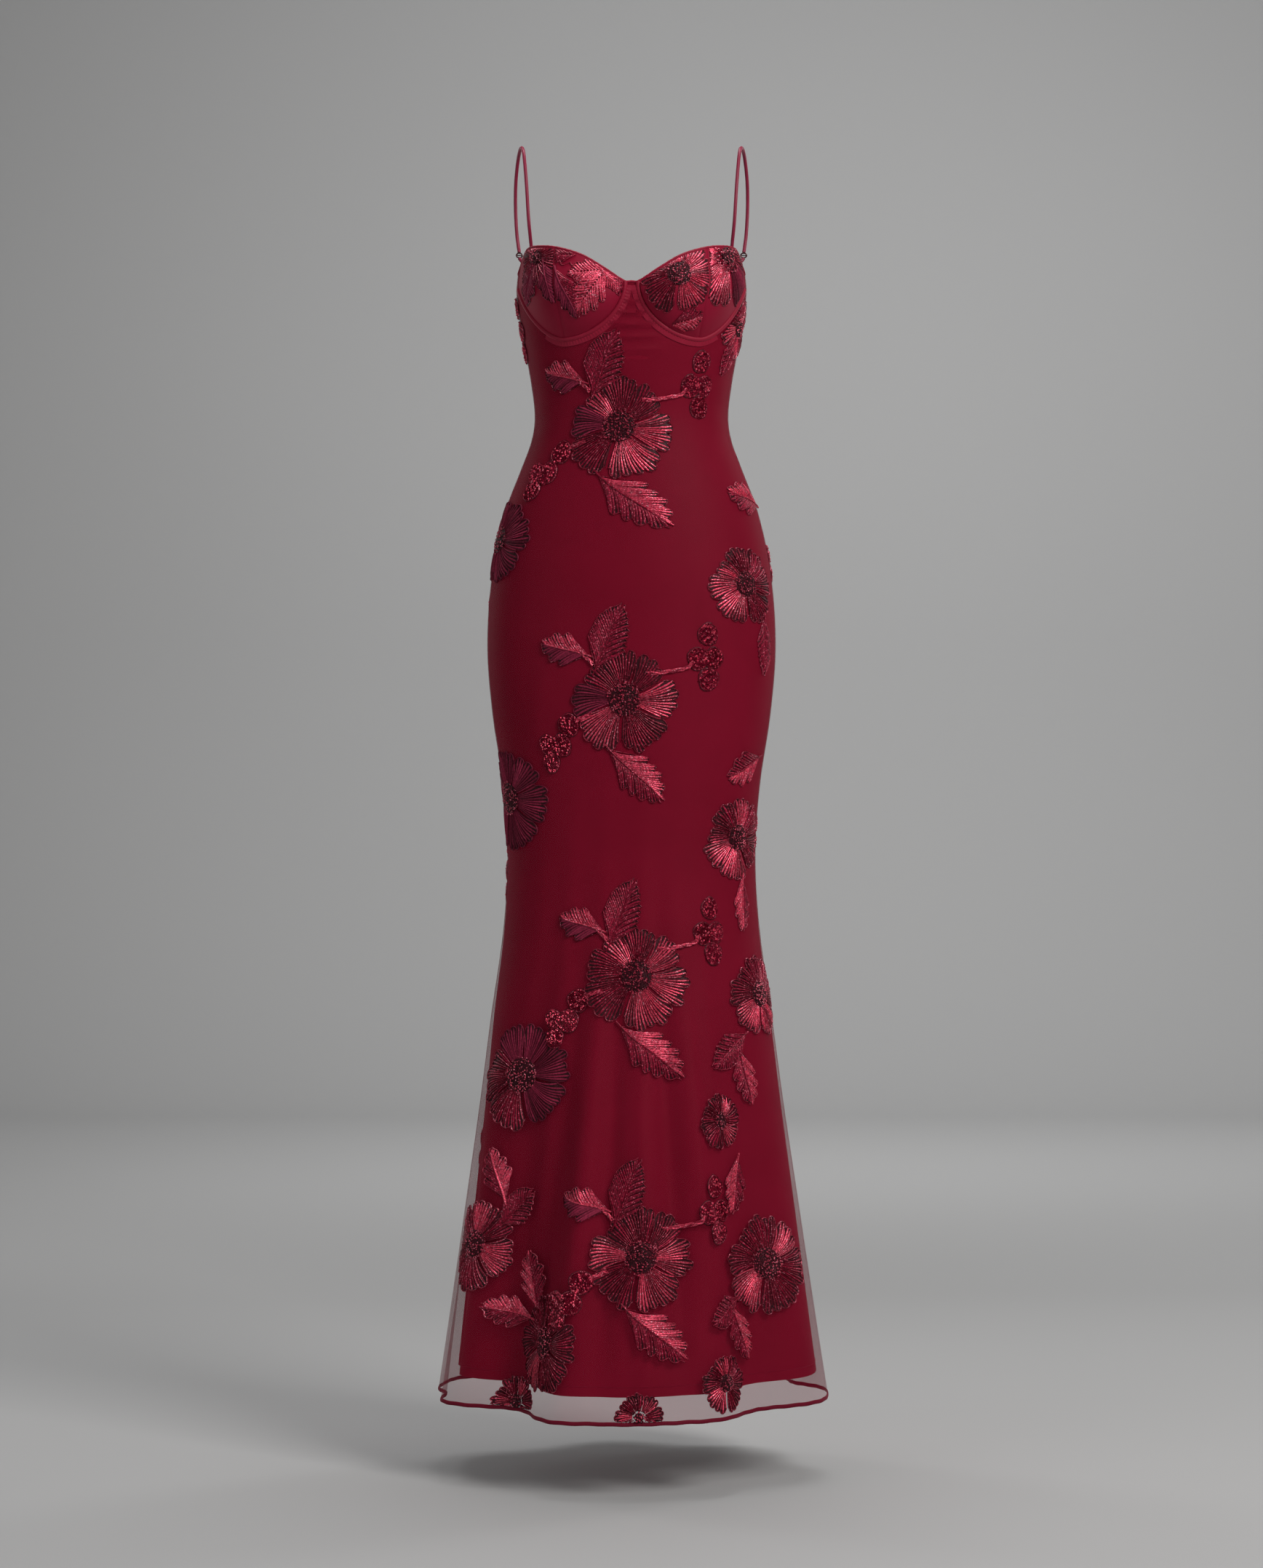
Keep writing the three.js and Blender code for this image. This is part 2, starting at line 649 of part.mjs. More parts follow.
function backOutline(from, to, bottomLift) {
  const bottom = (angle) => ({ angle, z: hemZ(angle) + bottomLift });
  const top = (angle) => ({ angle, z: neckZ(angle) });
  const columns = rangeOf(Math.round(from), Math.round(to), COLUMN_STEP).slice(1, -1);
  return [
    ...seamRun(to, bottom(to).z, neckZ(to)),
    ...[...columns].reverse().map(top),
    ...seamRun(from, neckZ(from), bottom(from).z),
    ...columns.map(bottom),
  ];
}

const motifs = motifsOf(LOOSE_FLOWERS, LOOSE_LEAVES, SPRAYS);
const EDGE_MARGIN = 12;

// The mesh layer, embroidered: its points stand out where a motif is sewn on, and at the rolled hem.
function meshPanel(name, outline, from, to) {
  const grid = gridInside(from, to);
  const outerAt = ({ angle, z, rise = 0 }) => {
    const hem = z < hemZ(angle) + ROLLED_HEM ? ROLLED_HEM_RISE : 0;
    return onCloth(angle, z, Math.max(rise, hem));
  };
  const innerAt = ({ angle, z }) => onCloth(angle, z, -meshWall(angle, z));
  const { points, lines } = embroidered(outline, grid, motifs, EDGE_MARGIN);
  const plain = keepClear(grid, outline, EDGE_MARGIN);
  addPiece(name, wall(outline, points, plain, outerAt, innerAt, lines), clothMaterial);
}

function liningPanel(name, outline, from, to) {
  const grid = keepClear(gridInside(from, to), outline, EDGE_MARGIN);
  const faceAt = (depth) => ({ angle, z }) =>
    onCloth(angle, z, -meshWall(angle, z) - liningInset(angle, z) - depth);
  addPiece(name, wall(outline, grid, grid, faceAt(0), faceAt(LINING_WALL)), liningMaterial);
}

const LEFT_BACK = [90 + SEAM_HALF_ANGLE, 180 - SEAM_HALF_ANGLE];
const RIGHT_BACK = [180 + SEAM_HALF_ANGLE, 270 - SEAM_HALF_ANGLE];

meshPanel("overlay_front", frontOutline(0), -90, 90);
meshPanel("overlay_back_left", backOutline(...LEFT_BACK, 0), 90, 180);
meshPanel("overlay_back_right", backOutline(...RIGHT_BACK, 0), 180, 270);
liningPanel("lining_front", frontOutline(LINING_HEM_LIFT), -90, 90);
liningPanel("lining_back_left", backOutline(...LEFT_BACK, LINING_HEM_LIFT), 90, 180);
liningPanel("lining_back_right", backOutline(...RIGHT_BACK, LINING_HEM_LIFT), 180, 270);

// The cups: an inner and an outer moulded piece for each, joined by a seam down over the fullest part.
const cupMotifs = motifsOf(CUP_FLOWERS, CUP_LEAVES, []);

function cupPiece(name, side, inner) {
  const seam = (z) => {
    const share = (z - (WIRE.top - WIRE.drop)) / WIRE.drop;
    const gap = inner ? -SEAM_HALF_ANGLE : SEAM_HALF_ANGLE;
    return CUP_SEAM.bottom + (CUP_SEAM.top - CUP_SEAM.bottom) * THREE.MathUtils.clamp(share, 0, 1) + gap;
  };
  const low = WIRE.top - WIRE.drop + CASING_CLEAR;
  const wire = rangeOf(0, 1, 1 / 20).map((share) => besideWire(share, CASING_CLEAR));
  const lowest = { angle: seam(low), z: low };
  const highest = { angle: seam(WIRE.top), z: neckZ(CUP_SEAM.top) };
  const tip = wire[0];
  const outerEdge = WIRE.end - SEAM_HALF_ANGLE;
  const beyond = (p) => (inner ? p.angle < lowest.angle - 2 : p.angle > lowest.angle + 2 && p.angle < outerEdge);
  const bottom = wire.filter(beyond);
  const neck = (from, to) => rangeOf(from, to, 5).map((angle) => ({ angle, z: neckZ(angle) }));
  const outline = inner
    ? [...bottom, ...run(lowest, highest, 9), ...neck(highest.angle, tip.angle + 1.2)]
    : [
        lowest,
        ...bottom,
        ...run({ angle: outerEdge, z: -160 }, { angle: outerEdge, z: neckZ(outerEdge) }, 9),
        ...neck(outerEdge, highest.angle),
        ...run(highest, lowest, 9).slice(1),
      ];
  const turned =
    side > 0 ? outline : outline.map(({ angle, z }) => ({ angle: -angle, z })).reverse();
  const grid = rangeOf(4, 76, 4).flatMap((angle) =>
    rangeOf(-228, -124, 8.5).map((z) => ({ angle: angle * side, z })),
  );
  const clear = 4.6;
  const { points, lines } = embroidered(turned, grid, cupMotifs, clear);
  const outerAt = ({ angle, z, rise = 0 }) => onCup(angle, z, rise);
  const innerAt = ({ angle, z }) => onCup(angle, z, -CUP_WALL);
  addPiece(
    name,
    wall(turned, points, keepClear(grid, turned, clear), outerAt, innerAt, lines),
    clothMaterial,
  );
}

[
  ["left", 1],
  ["right", -1],
].forEach(([word, side]) => {
  cupPiece(`cup_inner_${word}`, side, true);
  cupPiece(`cup_outer_${word}`, side, false);
});

// A round cord or tube along a smooth line.
function roundTube(points, radius, steps, sides) {
  const section = new THREE.Shape(
    Array.from({ length: sides }, (_, i) => {
      const turn = (2 * Math.PI * i) / sides;
      return new THREE.Vector2(radius * Math.cos(turn), radius * Math.sin(turn));
    }),
  );
  return new THREE.ExtrudeGeometry(section, {
    steps,
    extrudePath: new THREE.CatmullRomCurve3(points),
  });
}

// The wire casings: a stuffed channel of the lining cloth round the foot of each cup.
const CASING_DEPTH = -0.6;
[
  ["left", 1],
  ["right", -1],
].forEach(([word, side]) => {
  const line = rangeOf(0, 1, 1 / 18).map((share) => {
    const { angle, z } = wireAt(share);
    return onDress(angle * side, z, CASING_DEPTH);
  });
  addPiece(`wire_casing_${word}`, roundTube(line, CASING_RADIUS, 28, 7), clothMaterial);
});

// The straps: from inside the cup's top corner over the shoulder and down to a slider, then a short tab
// from the slider to the inside of the back's top edge.
const STRAP_FRONT = { angle: 66.5, below: 11 };
const STRAP_BACK = { angle: 107, below: 12 };
const SLIDER = { x: 130.5, y: 27, z: -121, width: 8, height: 6.4, thick: 2.4, slot: 1.6 };
const STRAP_LINE = [
  { x: 117.6, y: -51, z: -92 },
  { x: 120.6, y: -44, z: -46 },
  { x: 124, y: -30, z: -11 },
  { x: 127.2, y: -10, z: -STRAP_RADIUS },
  { x: 131, y: 12, z: -9 },
  { x: 134.4, y: 26, z: -34 },
  { x: 135.2, y: 33, z: -62 },
  { x: 133.6, y: 32, z: -95 },
];


[
  ["left", 1],
  ["right", -1],
].forEach(([word, side]) => {
  const frontTop = neckZ(STRAP_FRONT.angle);
  const behindCup = -CUP_WALL - 0.7 - STRAP_RADIUS;
  const backTop = neckZ(STRAP_BACK.angle);
  const behindBack = -MESH_WALL - LINING_GAP - LINING_WALL - 1.2 - STRAP_RADIUS;
  const mirror = ({ x, y, z }) => new THREE.Vector3(side * x, y, z);
  const slider = mirror(SLIDER);
  const strap = [
    onCup(STRAP_FRONT.angle * side, frontTop - STRAP_FRONT.below, behindCup - 0.8),
    onCup(STRAP_FRONT.angle * side, frontTop, behindCup),
    ...STRAP_LINE.map(mirror),
    slider.clone().add(new THREE.Vector3(side * 0.2, 0.4, SLIDER.height / 2 + 0.8)),
  ];
  addPiece(`strap_${word}`, roundTube(strap, STRAP_RADIUS, 28, 7), strapMaterial);
  const tab = [
    slider.clone().add(new THREE.Vector3(-side * 0.2, -0.2, -SLIDER.height / 2 - 1.4)),
    onDress(STRAP_BACK.angle * side, backTop + 3, behindBack),
    onDress(STRAP_BACK.angle * side, backTop - STRAP_BACK.below, behindBack),
  ];
  addPiece(`strap_tab_${word}`, roundTube(tab, STRAP_RADIUS, 9, 7), strapMaterial);

  const frame = new THREE.Shape();
  const [w, h] = [SLIDER.width / 2, SLIDER.height / 2];
  frame.absellipse(0, 0, w, h, 0, 2 * Math.PI);
  [-1, 1].forEach((row) => {
    const slot = new THREE.Path();
    slot.absellipse(0, row * h * 0.42, w * 0.6, SLIDER.slot / 2, 0, 2 * Math.PI);
    frame.holes.push(slot);
  });
  const body = new THREE.ExtrudeGeometry(frame, {
    depth: SLIDER.thick,
    bevelEnabled: false,
    curveSegments: 6,
  });
  body.translate(0, 0, -SLIDER.thick / 2);
  const piece = addPiece(`strap_slider_${word}`, body, metalMaterial);
  piece.position.copy(slider);
  piece.rotation.set(Math.PI / 2, 0, 0);
});

// The concealed zip: its tape inside the lining, and outside only the slider with its drop pull.
const tapeAngle = ZIP.halfWidth / MM_PER_DEGREE;
const tapeTop = neckZ(180) - 3;
const tapeEdge = [
  ...run({ angle: 180 + tapeAngle, z: ZIP.end }, { angle: 180 + tapeAngle, z: tapeTop }, 18),
  { angle: 180 + tapeAngle, z: tapeTop },
  { angle: 180, z: tapeTop },
  ...run({ angle: 180 - tapeAngle, z: tapeTop }, { angle: 180 - tapeAngle, z: ZIP.end }, 18),
  { angle: 180 - tapeAngle, z: ZIP.end },
  { angle: 180, z: ZIP.end },
];
const tapeAt = (depth) => ({ angle, z }) => onCloth(angle, z, -depth);
addPiece(
  "zip_tape",
  wall(tapeEdge, [], [], tapeAt(ZIP.depth), tapeAt(ZIP.depth + ZIP.wall)),
  liningMaterial,
);

// A closed geometry as a solid that can be joined to another.
function solidOf(geometry) {
  const points = geometry.index ? geometry.toNonIndexed() : geometry;
  const vertices = new Map();
  const vertProperties = [];
  const triVerts = [];
  const position = points.getAttribute("position");
  for (let i = 0; i < position.count; i += 1) {
    const xyz = [position.getX(i), position.getY(i), position.getZ(i)];
    const key = xyz.map((value) => value.toFixed(4)).join();
    if (!vertices.has(key)) {
      vertices.set(key, vertProperties.length / 3);
      vertProperties.push(...xyz);
    }
    triVerts.push(vertices.get(key));
  }
  const mesh = new wasm.Mesh({
    numProp: 3,
    vertProperties: new Float32Array(vertProperties),
    triVerts: new Uint32Array(triVerts),
  });
  return new wasm.Manifold(mesh);
}

function geometryOf(solid) {
  const mesh = solid.getMesh();
  const geometry = new THREE.BufferGeometry();
  geometry.setAttribute("position", new THREE.BufferAttribute(mesh.vertProperties, 3));
  geometry.setIndex(new THREE.BufferAttribute(mesh.triVerts, 1));
  return geometry;
}

const PULL = { pivotZ: -175, out: 3.6, length: 21, width: 5, thick: 1, barrel: 1, between: 2.4 };
const EAR = { thick: 1.1, gap: 0.35, height: 3 };
const seat = onCloth(180, PULL.pivotZ);
const sliderFace = seat.y;
const pivotY = seat.y + PULL.out;

const sliderBody = new THREE.BoxGeometry(5.4, pivotY - 1.5 - sliderFace, 9);
sliderBody.translate(0, (pivotY - 1.5 + sliderFace) / 2, PULL.pivotZ - 1.5);
const ears = [-1, 1].map((side) => {
  const ear = new THREE.BoxGeometry(EAR.thick, pivotY + 1.2 - sliderFace - 0.4, EAR.height);
  const x = side * (PULL.between / 2 + EAR.gap + EAR.thick / 2);
  return ear.translate(x, (pivotY + 1.2 + sliderFace + 0.4) / 2, PULL.pivotZ);
});
const zipSlider = ears.reduce((sum, ear) => sum.add(solidOf(ear)), solidOf(sliderBody));
addPiece("zip_slider", geometryOf(zipSlider), metalMaterial);

const barrel = new THREE.CylinderGeometry(PULL.barrel, PULL.barrel, PULL.between, 16);
barrel.rotateZ(Math.PI / 2).translate(0, pivotY, PULL.pivotZ);
const drop = new THREE.Shape();
drop.moveTo(-PULL.between / 2 + 0.1, 0);
drop.lineTo(-PULL.width / 2, -PULL.length + PULL.width / 2);
drop.absarc(0, -PULL.length + PULL.width / 2, PULL.width / 2, Math.PI, 2 * Math.PI, false);
drop.lineTo(PULL.between / 2 - 0.1, 0);
const plate = new THREE.ExtrudeGeometry(drop, { depth: PULL.thick, bevelEnabled: false, curveSegments: 10 });
plate.rotateX(Math.PI / 2).translate(0, pivotY + PULL.thick / 2, PULL.pivotZ);
addPiece("zip_pull", geometryOf(solidOf(barrel).add(solidOf(plate))), metalMaterial);

export default dress;
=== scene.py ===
"""A wine-red corset maxi dress, standing hollow as it is worn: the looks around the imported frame.
Metres. X is the wearer's left, the front faces -Y, and Z is up. Angle 0 is the centre front and 90
the wearer's left side."""

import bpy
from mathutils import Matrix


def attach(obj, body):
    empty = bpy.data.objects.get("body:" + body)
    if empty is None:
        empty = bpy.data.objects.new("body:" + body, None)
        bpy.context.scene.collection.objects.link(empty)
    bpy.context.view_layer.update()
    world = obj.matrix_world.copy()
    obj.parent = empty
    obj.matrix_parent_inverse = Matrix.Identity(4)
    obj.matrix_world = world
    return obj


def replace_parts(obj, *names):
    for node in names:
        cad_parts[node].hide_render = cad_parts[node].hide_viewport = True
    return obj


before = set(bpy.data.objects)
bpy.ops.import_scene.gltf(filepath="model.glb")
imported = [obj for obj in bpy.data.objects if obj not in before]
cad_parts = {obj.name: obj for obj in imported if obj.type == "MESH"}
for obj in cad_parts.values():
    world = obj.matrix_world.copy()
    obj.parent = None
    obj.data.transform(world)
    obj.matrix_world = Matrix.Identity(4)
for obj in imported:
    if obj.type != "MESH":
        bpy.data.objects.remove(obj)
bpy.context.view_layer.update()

import math

import bpy
import numpy as np
from mathutils import Vector

# Lining
# Three panels of smooth opaque jersey, cut like the mesh over them and sewn to it at every seam.
# They lie against the mesh down to the knee, and hang freely inside the flare, 3 cm shorter.

BODY_LINE = np.array([
    (-0.110, 0.130, 0.090, 0.083),
    (-0.140, 0.131, 0.093, 0.084),
    (-0.172, 0.133, 0.097, 0.086),
    (-0.235, 0.123, 0.092, 0.080),
    (-0.275, 0.116, 0.085, 0.077),
    (-0.312, 0.112, 0.081, 0.077),
    (-0.340, 0.116, 0.083, 0.081),
    (-0.375, 0.129, 0.088, 0.089),
    (-0.420, 0.146, 0.095, 0.102),
    (-0.490, 0.161, 0.102, 0.117),
    (-0.575, 0.167, 0.104, 0.121),
    (-0.655, 0.161, 0.104, 0.114),
    (-0.735, 0.149, 0.103, 0.105),
    (-0.815, 0.1435, 0.103, 0.103),
    (-0.900, 0.148, 0.109, 0.111),
    (-1.000, 0.162, 0.123, 0.128),
    (-1.100, 0.1755, 0.138, 0.146),
    (-1.210, 0.192, 0.153, 0.165),
    (-1.330, 0.210, 0.169, 0.184),
    (-1.460, 0.230, 0.186, 0.202),
])
HALF_WIDTH, FRONT_DEPTH, BACK_DEPTH = 1, 2, 3
HEM = -1.447
HEM_SIDE_RISE = 0.008

# Folds of the flare: the angle of each, how wide, how far out or in at the hem, where it starts.
FLARE_FOLDS = [
    (-9, 13, 0.014, -0.80), (-24, 9, 0.014, -0.95), (-42, 14, -0.036, -0.82), (-68, 12, 0.008, -0.90),
    (-82, 9, -0.014, -1.00), (19, 12, 0.009, -0.90), (44, 14, -0.024, -0.85), (68, 12, 0.007, -0.95),
    (112, 13, -0.022, -0.90), (138, 12, 0.012, -0.85), (162, 11, -0.016, -0.90), (186, 12, 0.011, -0.90),
    (212, 13, -0.020, -0.85), (238, 12, 0.012, -0.90),
]
# Soft creases of the close part and narrow folds of the flare: angle, height, half
# length, half width, lean in degrees from upright, and how far each stands out.
SOFT_CREASES = [
    (-30, -0.93, 0.150, 0.011, 2, 0.0013), (-12, -0.99, 0.190, 0.013, -1, 0.0016),
    (5, -0.95, 0.170, 0.010, 1, 0.0014), (16, -1.03, 0.200, 0.012, -2, 0.0016),
    (33, -0.96, 0.150, 0.012, -3, 0.0014), (-48, -0.98, 0.160, 0.012, 4, 0.0013),
    (14.5, -1.20, 0.240, 0.0098, -1, -0.0105), (26, -1.22, 0.220, 0.0078, -2, 0.0062),
    (-8, -1.22, 0.230, 0.0105, 1, -0.0105), (-17, -1.20, 0.200, 0.0085, 2, 0.0060),
    (-29, -1.22, 0.210, 0.0105, 3, -0.0095), (4, -1.26, 0.190, 0.0085, 0, 0.0056),
    (-24, -1.28, 0.170, 0.0050, 1, -0.0040), (33, -1.12, 0.130, 0.0050, -2, 0.0034),
    (-62, -0.335, 0.038, 0.006, 72, 0.0011), (-58, -0.300, 0.034, 0.005, 84, 0.0009),
    (61, -0.322, 0.040, 0.006, -76, 0.0011), (66, -0.290, 0.030, 0.005, -86, 0.0008),
    (-20, -0.262, 0.030, 0.007, 80, 0.0007), (18, -0.268, 0.034, 0.007, -82, 0.0007),
    (-40, -0.640, 0.110, 0.012, 12, 0.0011), (38, -0.610, 0.120, 0.012, -10, 0.0012),
    (118, -0.320, 0.036, 0.006, -74, 0.0011), (242, -0.312, 0.038, 0.006, 75, 0.0011),
    (150, -0.345, 0.040, 0.007, -62, 0.0010), (208, -0.352, 0.040, 0.007, 60, 0.0010),
    (132, -0.690, 0.120, 0.012, -9, 0.0012), (226, -0.700, 0.110, 0.012, 8, 0.0012),
    (172, -0.960, 0.170, 0.012, 1, 0.0014), (194, -1.010, 0.190, 0.013, -1, 0.0015),
    (148, -1.040, 0.180, 0.012, 2, 0.0014), (216, -0.980, 0.160, 0.012, -2, 0.0014),
    (126, -0.930, 0.150, 0.011, -3, 0.0012), (252, -0.950, 0.150, 0.011, 3, 0.0012),
]
METRES_PER_DEGREE = 0.0023


def through(places, values, at):
    """A smooth curve through measured rows, read at other places."""
    slope = np.empty(len(places))
    slope[1:-1] = (values[2:] - values[:-2]) / (places[2:] - places[:-2])
    slope[0] = (values[1] - values[0]) / (places[1] - places[0])
    slope[-1] = (values[-1] - values[-2]) / (places[-1] - places[-2])
    at = np.clip(at, places[0], places[-1])
    row = np.clip(np.searchsorted(places, at, side="right") - 1, 0, len(places) - 2)
    span = places[row + 1] - places[row]
    t = (at - places[row]) / span
    return (
        values[row] * (2 * t**3 - 3 * t**2 + 1) + slope[row] * span * (t**3 - 2 * t**2 + t)
        + values[row + 1] * (3 * t**2 - 2 * t**3) + slope[row + 1] * span * (t**3 - t**2)
    )


def body_line(height, measure):
    return through(-BODY_LINE[:, 0], BODY_LINE[:, measure], -height)


def turn_between(start, angle):
    return (angle - start + 180) % 360 - 180


def folds(angle, height):
    """How far the folds and creases stand out there."""
    out = np.zeros(np.broadcast(angle, height).shape)
    for middle, width, depth, start in FLARE_FOLDS:
        grown = np.clip((start - height) / (start - HEM), 0, 1.1)
        out = out + depth * grown**1.5 * np.exp(-((turn_between(middle, angle) / width) ** 2))
    for middle, level, long, wide, lean, depth in SOFT_CREASES:
        across = turn_between(middle, angle) * METRES_PER_DEGREE
        up = height - level
        c, s = math.cos(math.radians(lean)), math.sin(math.radians(lean))
        out = out + depth * np.exp(
            -(((across * c - up * s) / wide) ** 2) - ((across * s + up * c) / long) ** 2
        )
    return out


def on_body(angle, height, out=0.0):
    """Places on the worn dress."""
    angle, height, out = np.broadcast_arrays(angle, height, out)
    turn = np.radians(angle)
    half = body_line(height, HALF_WIDTH)
    depth = np.where(
        np.cos(turn) > 0, body_line(height, FRONT_DEPTH), body_line(height, BACK_DEPTH)
    )
    across, back = np.sin(turn) / half, -np.cos(turn) / depth
    shift = (out + folds(angle, height)) / np.hypot(across, back)
    return np.stack(
        [half * np.sin(turn) + across * shift, -depth * np.cos(turn) + back * shift, height], -1
    )


# The top edge from the gore round to the centre back, the same on both sides.
NECK_EDGE = np.array([
    (0, -0.167), (3.2, -0.167), (13.7, -0.152), (25, -0.1375), (37.6, -0.1285), (50, -0.124),
    (66, -0.1235), (73, -0.132), (80, -0.142), (90, -0.147), (107, -0.143), (125, -0.150),
    (150, -0.162), (180, -0.168),
])
WIRE_START, WIRE_LOW, WIRE_END = 3.2, 38.0, 77.0
WIRE_TOP, WIRE_DROP, WIRE_OUTER_POWER = -0.167, 0.063, 1.65


def neck_height(angle):
    return through(NECK_EDGE[:, 0], NECK_EDGE[:, 1], np.abs(turn_between(0, np.asarray(angle, float))))


def hem_height(angle):
    return HEM + HEM_SIDE_RISE * np.sin(np.radians(angle)) ** 2


def wire_line(share):
    """The bust wire from the gore (0) to the underarm (1), as an angle and a height."""
    reach = -np.cos(share * math.pi)
    inner = reach < 0
    angle = WIRE_LOW + np.where(inner, WIRE_LOW - WIRE_START, WIRE_END - WIRE_LOW) * reach
    outer_drop = 1 - np.abs(reach) ** WIRE_OUTER_POWER
    return angle, WIRE_TOP - WIRE_DROP * np.where(inner, np.sin(share * math.pi), outer_drop)


def wire_height(angle):
    """The height of the wire line below a place on the cup."""
    inner = np.clip((WIRE_LOW - angle) / (WIRE_LOW - WIRE_START), 0, 1)
    outer = np.clip((angle - WIRE_LOW) / (WIRE_END - WIRE_LOW), 0, 1)
    drop = np.where(angle < WIRE_LOW, np.sqrt(1 - inner**2), 1 - outer**WIRE_OUTER_POWER)
    return WIRE_TOP - WIRE_DROP * drop


def round_speed(angle, height):
    """Metres of cloth to one degree round the body."""
    apart = on_body(angle - 0.5, height) - on_body(angle + 0.5, height)
    return np.linalg.norm(apart, axis=-1)


def beside_wire(share, distance):
    """The wire line moved sideways, towards the cup (above 0) or the panel."""
    angle, height = wire_line(share)
    speed = round_speed(angle, height)
    before, after = wire_line(np.clip(share - 0.01, 0, 1)), wire_line(np.clip(share + 0.01, 0, 1))
    along, up = (after[0] - before[0]) * speed, after[1] - before[1]
    long = np.hypot(along, up)
    return angle - up / long * distance / speed, height + along / long * distance


PANEL_TUCK = 0.002
FAN_START = -0.245
LOW_FAN = -1.395
SEAM_COLUMNS = np.array([0, 0.25, 0.55, 1.0, 1.8, 3.0])


def front_columns(step):
    """Columns round the front panel, and the top edge over each, with room for both cups."""
    share = np.linspace(1, 0, int(74 / step))
    wire = beside_wire(share, -PANEL_TUCK)
    wing = np.concatenate([90 - SEAM_COLUMNS, np.arange(90 - 3 - step, WIRE_END + 0.5, -step)])
    wing = np.append(wing, WIRE_END + 0.08)
    gore = np.linspace(wire[0][-1], 0, 5)[1:]
    half = np.concatenate([wing, np.minimum(wire[0], WIRE_END), gore])
    top = np.concatenate([neck_height(wing), wire[1], neck_height(gore)])
    return np.concatenate([-half, half[-2::-1]]), np.concatenate([top, top[-2::-1]])


def back_columns(start, end, step):
    inside = np.arange(start + 3 + step / 2, end - 3 - step / 2, step)
    angles = np.concatenate([start + SEAM_COLUMNS, inside, end - SEAM_COLUMNS[::-1]])
    return angles, neck_height(angles)


def panel_grid(columns, lift, row_step, fan_rows):
    """Angle and height of each point of a panel, in rows from the hem to its top edge."""
    angles, top = columns
    bottom = hem_height(angles) + lift
    low = np.linspace(bottom, LOW_FAN, 6)[:-1]
    level = np.arange(LOW_FAN, FAN_START - row_step / 2, row_step)
    middle = np.repeat(level[:, None], len(angles), 1)
    high = np.linspace(np.full(len(angles), FAN_START), top, fan_rows)
    heights = np.concatenate([low, middle, high])
    return np.broadcast_to(angles, heights.shape), heights


def grid_faces(rows, columns):
    corner = np.arange(rows * columns).reshape(rows, columns)
    return np.stack(
        [corner[:-1, :-1], corner[:-1, 1:], corner[1:, 1:], corner[1:, :-1]], -1
    ).reshape(-1, 4)


def sew_mesh(name, points, faces, finishes, flat=None, finish_of=None, tones=None, crease=40):
    """A piece from its points and lists of faces, with its finishes, flat cloth place and tone."""
    mesh = bpy.data.meshes.new(name)
    mesh.from_pydata(points.reshape(-1, 3).tolist(), [], [f for part in faces for f in part.tolist()])
    for finish in finishes:
        mesh.materials.append(finish)
    corners = np.empty(len(mesh.loops), int)
    mesh.loops.foreach_get("vertex_index", corners)
    if flat is not None:
        layer = mesh.uv_layers.new(name="cloth")
        layer.data.foreach_set("uv", flat.reshape(-1, 2)[corners].ravel())
    if finish_of is not None:
        mesh.polygons.foreach_set("material_index", finish_of)
    if tones is not None:
        tone = mesh.color_attributes.new(name="tone", type="FLOAT_COLOR", domain="POINT")
        tone.data.foreach_set("color", np.repeat(tones, 4))
    mesh.polygons.foreach_set("use_smooth", np.ones(len(mesh.polygons), bool))
    mesh.set_sharp_from_angle(angle=math.radians(crease))
    mesh.update()
    piece = bpy.data.objects.new(name, mesh)
    bpy.context.scene.collection.objects.link(piece)
    return piece


def sew_shell(name, outer, inner, finish, flat):
    """A closed thin shell from rows of points on its outer and its inner face."""
    rows, columns = outer.shape[:2]
    count = rows * columns
    corner = np.arange(count).reshape(rows, columns)
    face = grid_faces(rows, columns)
    rim = np.concatenate([corner[0], corner[1:, -1], corner[-1, -2::-1], corner[-2:0:-1, 0]])
    after = np.roll(rim, -1)
    sides = np.stack([rim, rim + count, after + count, after], -1)
    points = np.concatenate([outer.reshape(-1, 3), inner.reshape(-1, 3)])
    faces = [face, face[:, ::-1] + count, sides]
    return sew_mesh(name, points, faces, [finish], np.concatenate([flat.reshape(-1, 2)] * 2))


def new_finish(name, colour, roughness, **fixed):
    """A material with one shader, whose even values sit on its own sockets."""
    material = bpy.data.materials.new(name)
    material.use_nodes = True
    material.diffuse_color = (*colour, 1)
    shader = material.node_tree.nodes["Principled BSDF"]
    shader.inputs["Base Color"].default_value = (*colour, 1)
    shader.inputs["Roughness"].default_value = roughness
    for socket, value in fixed.items():
        shader.inputs[socket.replace("_", " ")].default_value = value
    return material, shader


def add_node(material, kind, settings=(), inputs=(), links=()):
    """A node with its settings, its fixed inputs, and links into it from other nodes' outputs."""
    node = material.node_tree.nodes.new("ShaderNode" + kind)
    for key, value in dict(settings).items():
        setattr(node, key, value)
    for key, value in dict(inputs).items():
        node.inputs[key].default_value = value
    for key, source in dict(links).items():
        material.node_tree.links.new(source, node.inputs[key])
    return node


def connect(material, source, shader, socket):
    material.node_tree.links.new(source, shader.inputs[socket])


def bands(material, direction, scale, distortion=0.1, detail=1, detail_scale=2):
    """Fine bands of thread that run one way over the flat cloth."""
    place = add_node(material, "UVMap", {"uv_map": "cloth"}).outputs["UV"]
    return add_node(
        material, "TexWave", {"wave_type": "BANDS", "bands_direction": direction},
        {"Scale": scale, "Distortion": distortion, "Detail": detail, "Detail Scale": detail_scale},
        {"Vector": place},
    ).outputs["Fac"]


def solid_place(material):
    return add_node(material, "TexCoord").outputs["Object"]


